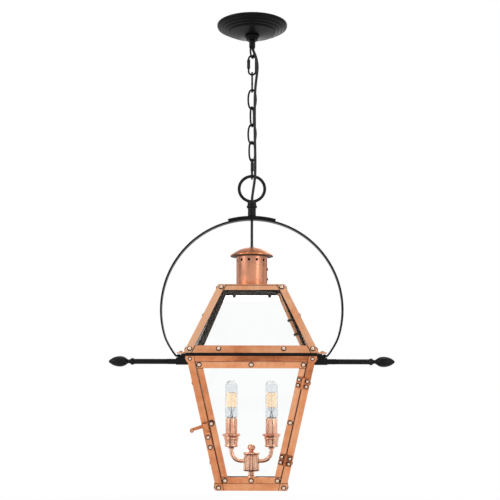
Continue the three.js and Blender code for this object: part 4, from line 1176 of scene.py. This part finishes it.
# the ends of the posts lap over the header and the base band
def lap_plate(z0, z1, turns, s):
    out_ = []
    for z_, ins in ((z0, 14.0), (z1, 14.0)):
        for e_ in (-1.5, ins):
            out_.append((s * (body(z_) - e_), z_))
    quad = [out_[0], out_[1], out_[3], out_[2]]
    vs = []
    for w_ in (1.50, 1.86):
        vs += [on_body(x_, z_, w_, turns)[0] for x_, z_ in quad]
    fs = [(0, 1, 2, 3), (7, 6, 5, 4)] + [(i, i + 4, (i + 1) % 4 + 4, (i + 1) % 4) for i in range(4)]
    return vs, fs


laps = []
for t_ in range(4):
    for s in (-1, 1):
        laps.append(lap_plate(-946.6, -933.8, t_, s))
        laps.append(lap_plate(-704.4, -694.3, t_, s))
v, f, _ = merge(*laps)
new_object("post_ends", v, f, M_FOOT, "lantern", "copper", sharp=25)

# wire channel inside the rear right hip, and its clips
ch = []
for z_ in np.linspace(-560, -684.5, 26):
    q = roof(z_)
    ch.append((q - 12.0, q - 4.6, z_))
chan_n = Vector((-0.35, -1, 0)).normalized()
v, f = sweep(ch, rrect(2.2, 6.6, 0.6, 3), side=(Vector(ch[-1]) - Vector(ch[0])).cross(Vector((0, 1, 0.0))).normalized())
new_object("wire_channel", v, f, M_CHANNEL_LIT, "lantern", "copper", sharp=40)
clips = []
for z_ in (-614, -643):
    q = roof(z_)
    c = slab([(-6.2, -2.6), (5.0, -2.6), (5.0, 2.6), (-6.2, 2.6)], -2.0, 1.8, 0.5, 2)
    d = (Vector(ch[-1]) - Vector(ch[0])).normalized()
    sx = d.cross(Vector((0, 1, 0))).normalized()
    clips.append(place(c, basis(sx, d, sx.cross(d), (q - 12.0, q - 4.9, z_))))
for x_ in (-37, 37):
    for t_ in range(4):
        if t_ == 0:
            continue
        c = slab([(-3.4, -3.0), (3.4, -3.0), (3.4, 3.0), (-3.4, 3.0)], -1.6, 1.6, 0.5, 2)
        p, n_ = on_roof(x_, -564.6, -3.4, t_)
        clips.append(place(c, frame_at(p, n_)))
v, f, _ = merge(*clips)
new_object("glass_clips", v, f, M_CLIP_SHADE, "lantern", "copper", sharp=40)

# ------------------------------------------------------------------ CAD nodes that stay: materials and rounded edges
def finish_node(name, mat, bevel=0.25, slot=None):
    ob = NODE[name]
    ob.data.materials.clear()
    ob.data.materials.append(mat)
    if bevel:
        b = ob.modifiers.new("edge", "BEVEL")
        b.width, b.segments, b.limit_method, b.angle_limit = bevel * MM, 2, "ANGLE", math.radians(30)
        b.harden_normals = False
        ob.data.polygons.foreach_set("use_smooth", [True] * len(ob.data.polygons))
        ob.data.set_sharp_from_angle(angle=math.radians(30))
    return ob


for c in ("front_left", "front_right", "rear_left", "rear_right"):
    finish_node(f"roof_hip_{c}", M_HIP_LIT if c == "front_left" else M_HIP)
    finish_node(f"corner_post_{c}", M_POST)
finish_node("roof_top_plate", M_RAIL)
finish_node("roof_eave", M_EAVE)
finish_node("header_rail", M_HEADER_SHADED)
finish_node("base_pan", M_PAN)
finish_node("door_frame", M_DOOR)
finish_node("latch_keeper", M_KEEPER)
finish_node("ceiling_crossbar", M_STEEL)
for n_ in ("upper", "lower"):
    finish_node(f"hinge_leaf_{n_}_frame", M_LEAF, 0.2)
    finish_node(f"hinge_leaf_{n_}_door", M_LEAF, 0.2)
for s in ("left", "right"):
    finish_node(f"arm_bracket_{s}", M_IRON, 0.6)
for n_ in ("roof_glass_front", "roof_glass_right", "roof_glass_rear", "roof_glass_left", "side_glass_right", "side_glass_rear", "side_glass_left", "door_glass"):
    g = finish_node(n_, M_GLASS, 0)
    g.visible_shadow = False

# ------------------------------------------------------------------ floor, light, world
def make_floor():
    t = Tree("floor")
    x, y, z = t.xyz(t.pos)
    d = t.vec("LENGTH", t.join(x, y, 0.0))
    n = t.noise(t.pos, 3.0, 2.0, 0.5)
    fade = t.rerange(d, 0.9, 2.6, 0.0, 1.0, True)
    col = t.mix(n, (0.80, 0.80, 0.795), (0.84, 0.84, 0.835))
    t.set(Base_Color=t.mix(fade, col, (0, 0, 0)), Roughness=0.8, Emission_Color=t.mix(fade, (0, 0, 0), (1, 1, 1)))
    t.bsdf.inputs["Emission Strength"].default_value = 1.0
    t.bsdf.inputs["Specular IOR Level"].default_value = 0.0
    seg, rings = 96, [0.0, 0.6, 1.2, 2.0, 3.0, 6.0, 14.0]
    v, f = lathe([(r_ * 1000, -1250.0) for r_ in rings], seg, closed=False)
    ob = new_object("floor", v, f, t.m)


make_floor()


def area(name, at, to, size, power, color=(1, 1, 1)):
    d = bpy.data.lights.new(name, "AREA")
    d.shape, d.size, d.size_y, d.energy, d.color = "RECTANGLE", size[0], size[1], power, color
    ob = bpy.data.objects.new(name, d)
    ob.location = at
    ob.rotation_euler = (Vector(to) - Vector(at)).to_track_quat("-Z", "Y").to_euler()
    ob.visible_camera = False
    scene.collection.objects.link(ob)


area("key", (-2.2, -1.3, 0.3), (0, 0, -0.65), (0.7, 1.6), 16)
area("fill", (1.9, -1.9, -0.1), (0, 0, -0.7), (0.6, 1.5), 9)
area("top", (0.2, 0.3, 1.6), (0, 0, -0.6), (1.6, 1.6), 14)
area("rear", (0.6, 2.4, 0.3), (0, 0, -0.6), (1.8, 1.4), 12)

world = bpy.data.worlds.new("studio")
world.use_nodes = True
wt = world.node_tree
wt.nodes.clear()
wout = wt.nodes.new("ShaderNodeOutputWorld")
bg = wt.nodes.new("ShaderNodeBackground")
tc = wt.nodes.new("ShaderNodeTexCoord")
sep = wt.nodes.new("ShaderNodeSeparateXYZ")
wt.links.new(tc.outputs["Generated"], sep.inputs[0])
rampn = wt.nodes.new("ShaderNodeValToRGB")
mr = wt.nodes.new("ShaderNodeMapRange")
wt.links.new(sep.outputs[2], mr.inputs[0])
mr.inputs[1].default_value, mr.inputs[2].default_value = -1.0, 1.0
wt.links.new(mr.outputs[0], rampn.inputs[0])
els = rampn.color_ramp.elements
els[0].position, els[0].color = 0.0, (0.42, 0.41, 0.40, 1)
els[1].position, els[1].color = 1.0, (0.74, 0.75, 0.77, 1)
e = els.new(0.36)
e.color = (0.56, 0.55, 0.54, 1)
e = els.new(0.52)
e.color = (0.70, 0.70, 0.70, 1)
lp = wt.nodes.new("ShaderNodeLightPath")
see = wt.nodes.new("ShaderNodeMath")
see.operation = "MAXIMUM"
wt.links.new(lp.outputs["Is Camera Ray"], see.inputs[0])
wt.links.new(lp.outputs["Is Transmission Ray"], see.inputs[1])
mixw = wt.nodes.new("ShaderNodeMix")
mixw.data_type = "RGBA"
wt.links.new(see.outputs[0], mixw.inputs[0])
wt.links.new(rampn.outputs[0], mixw.inputs[6])
mixw.inputs[7].default_value = (1, 1, 1, 1)
wt.links.new(mixw.outputs[2], bg.inputs[0])
wt.links.new(bg.outputs[0], wout.inputs[0])
scene.world = world
scene.view_settings.view_transform = "Standard"
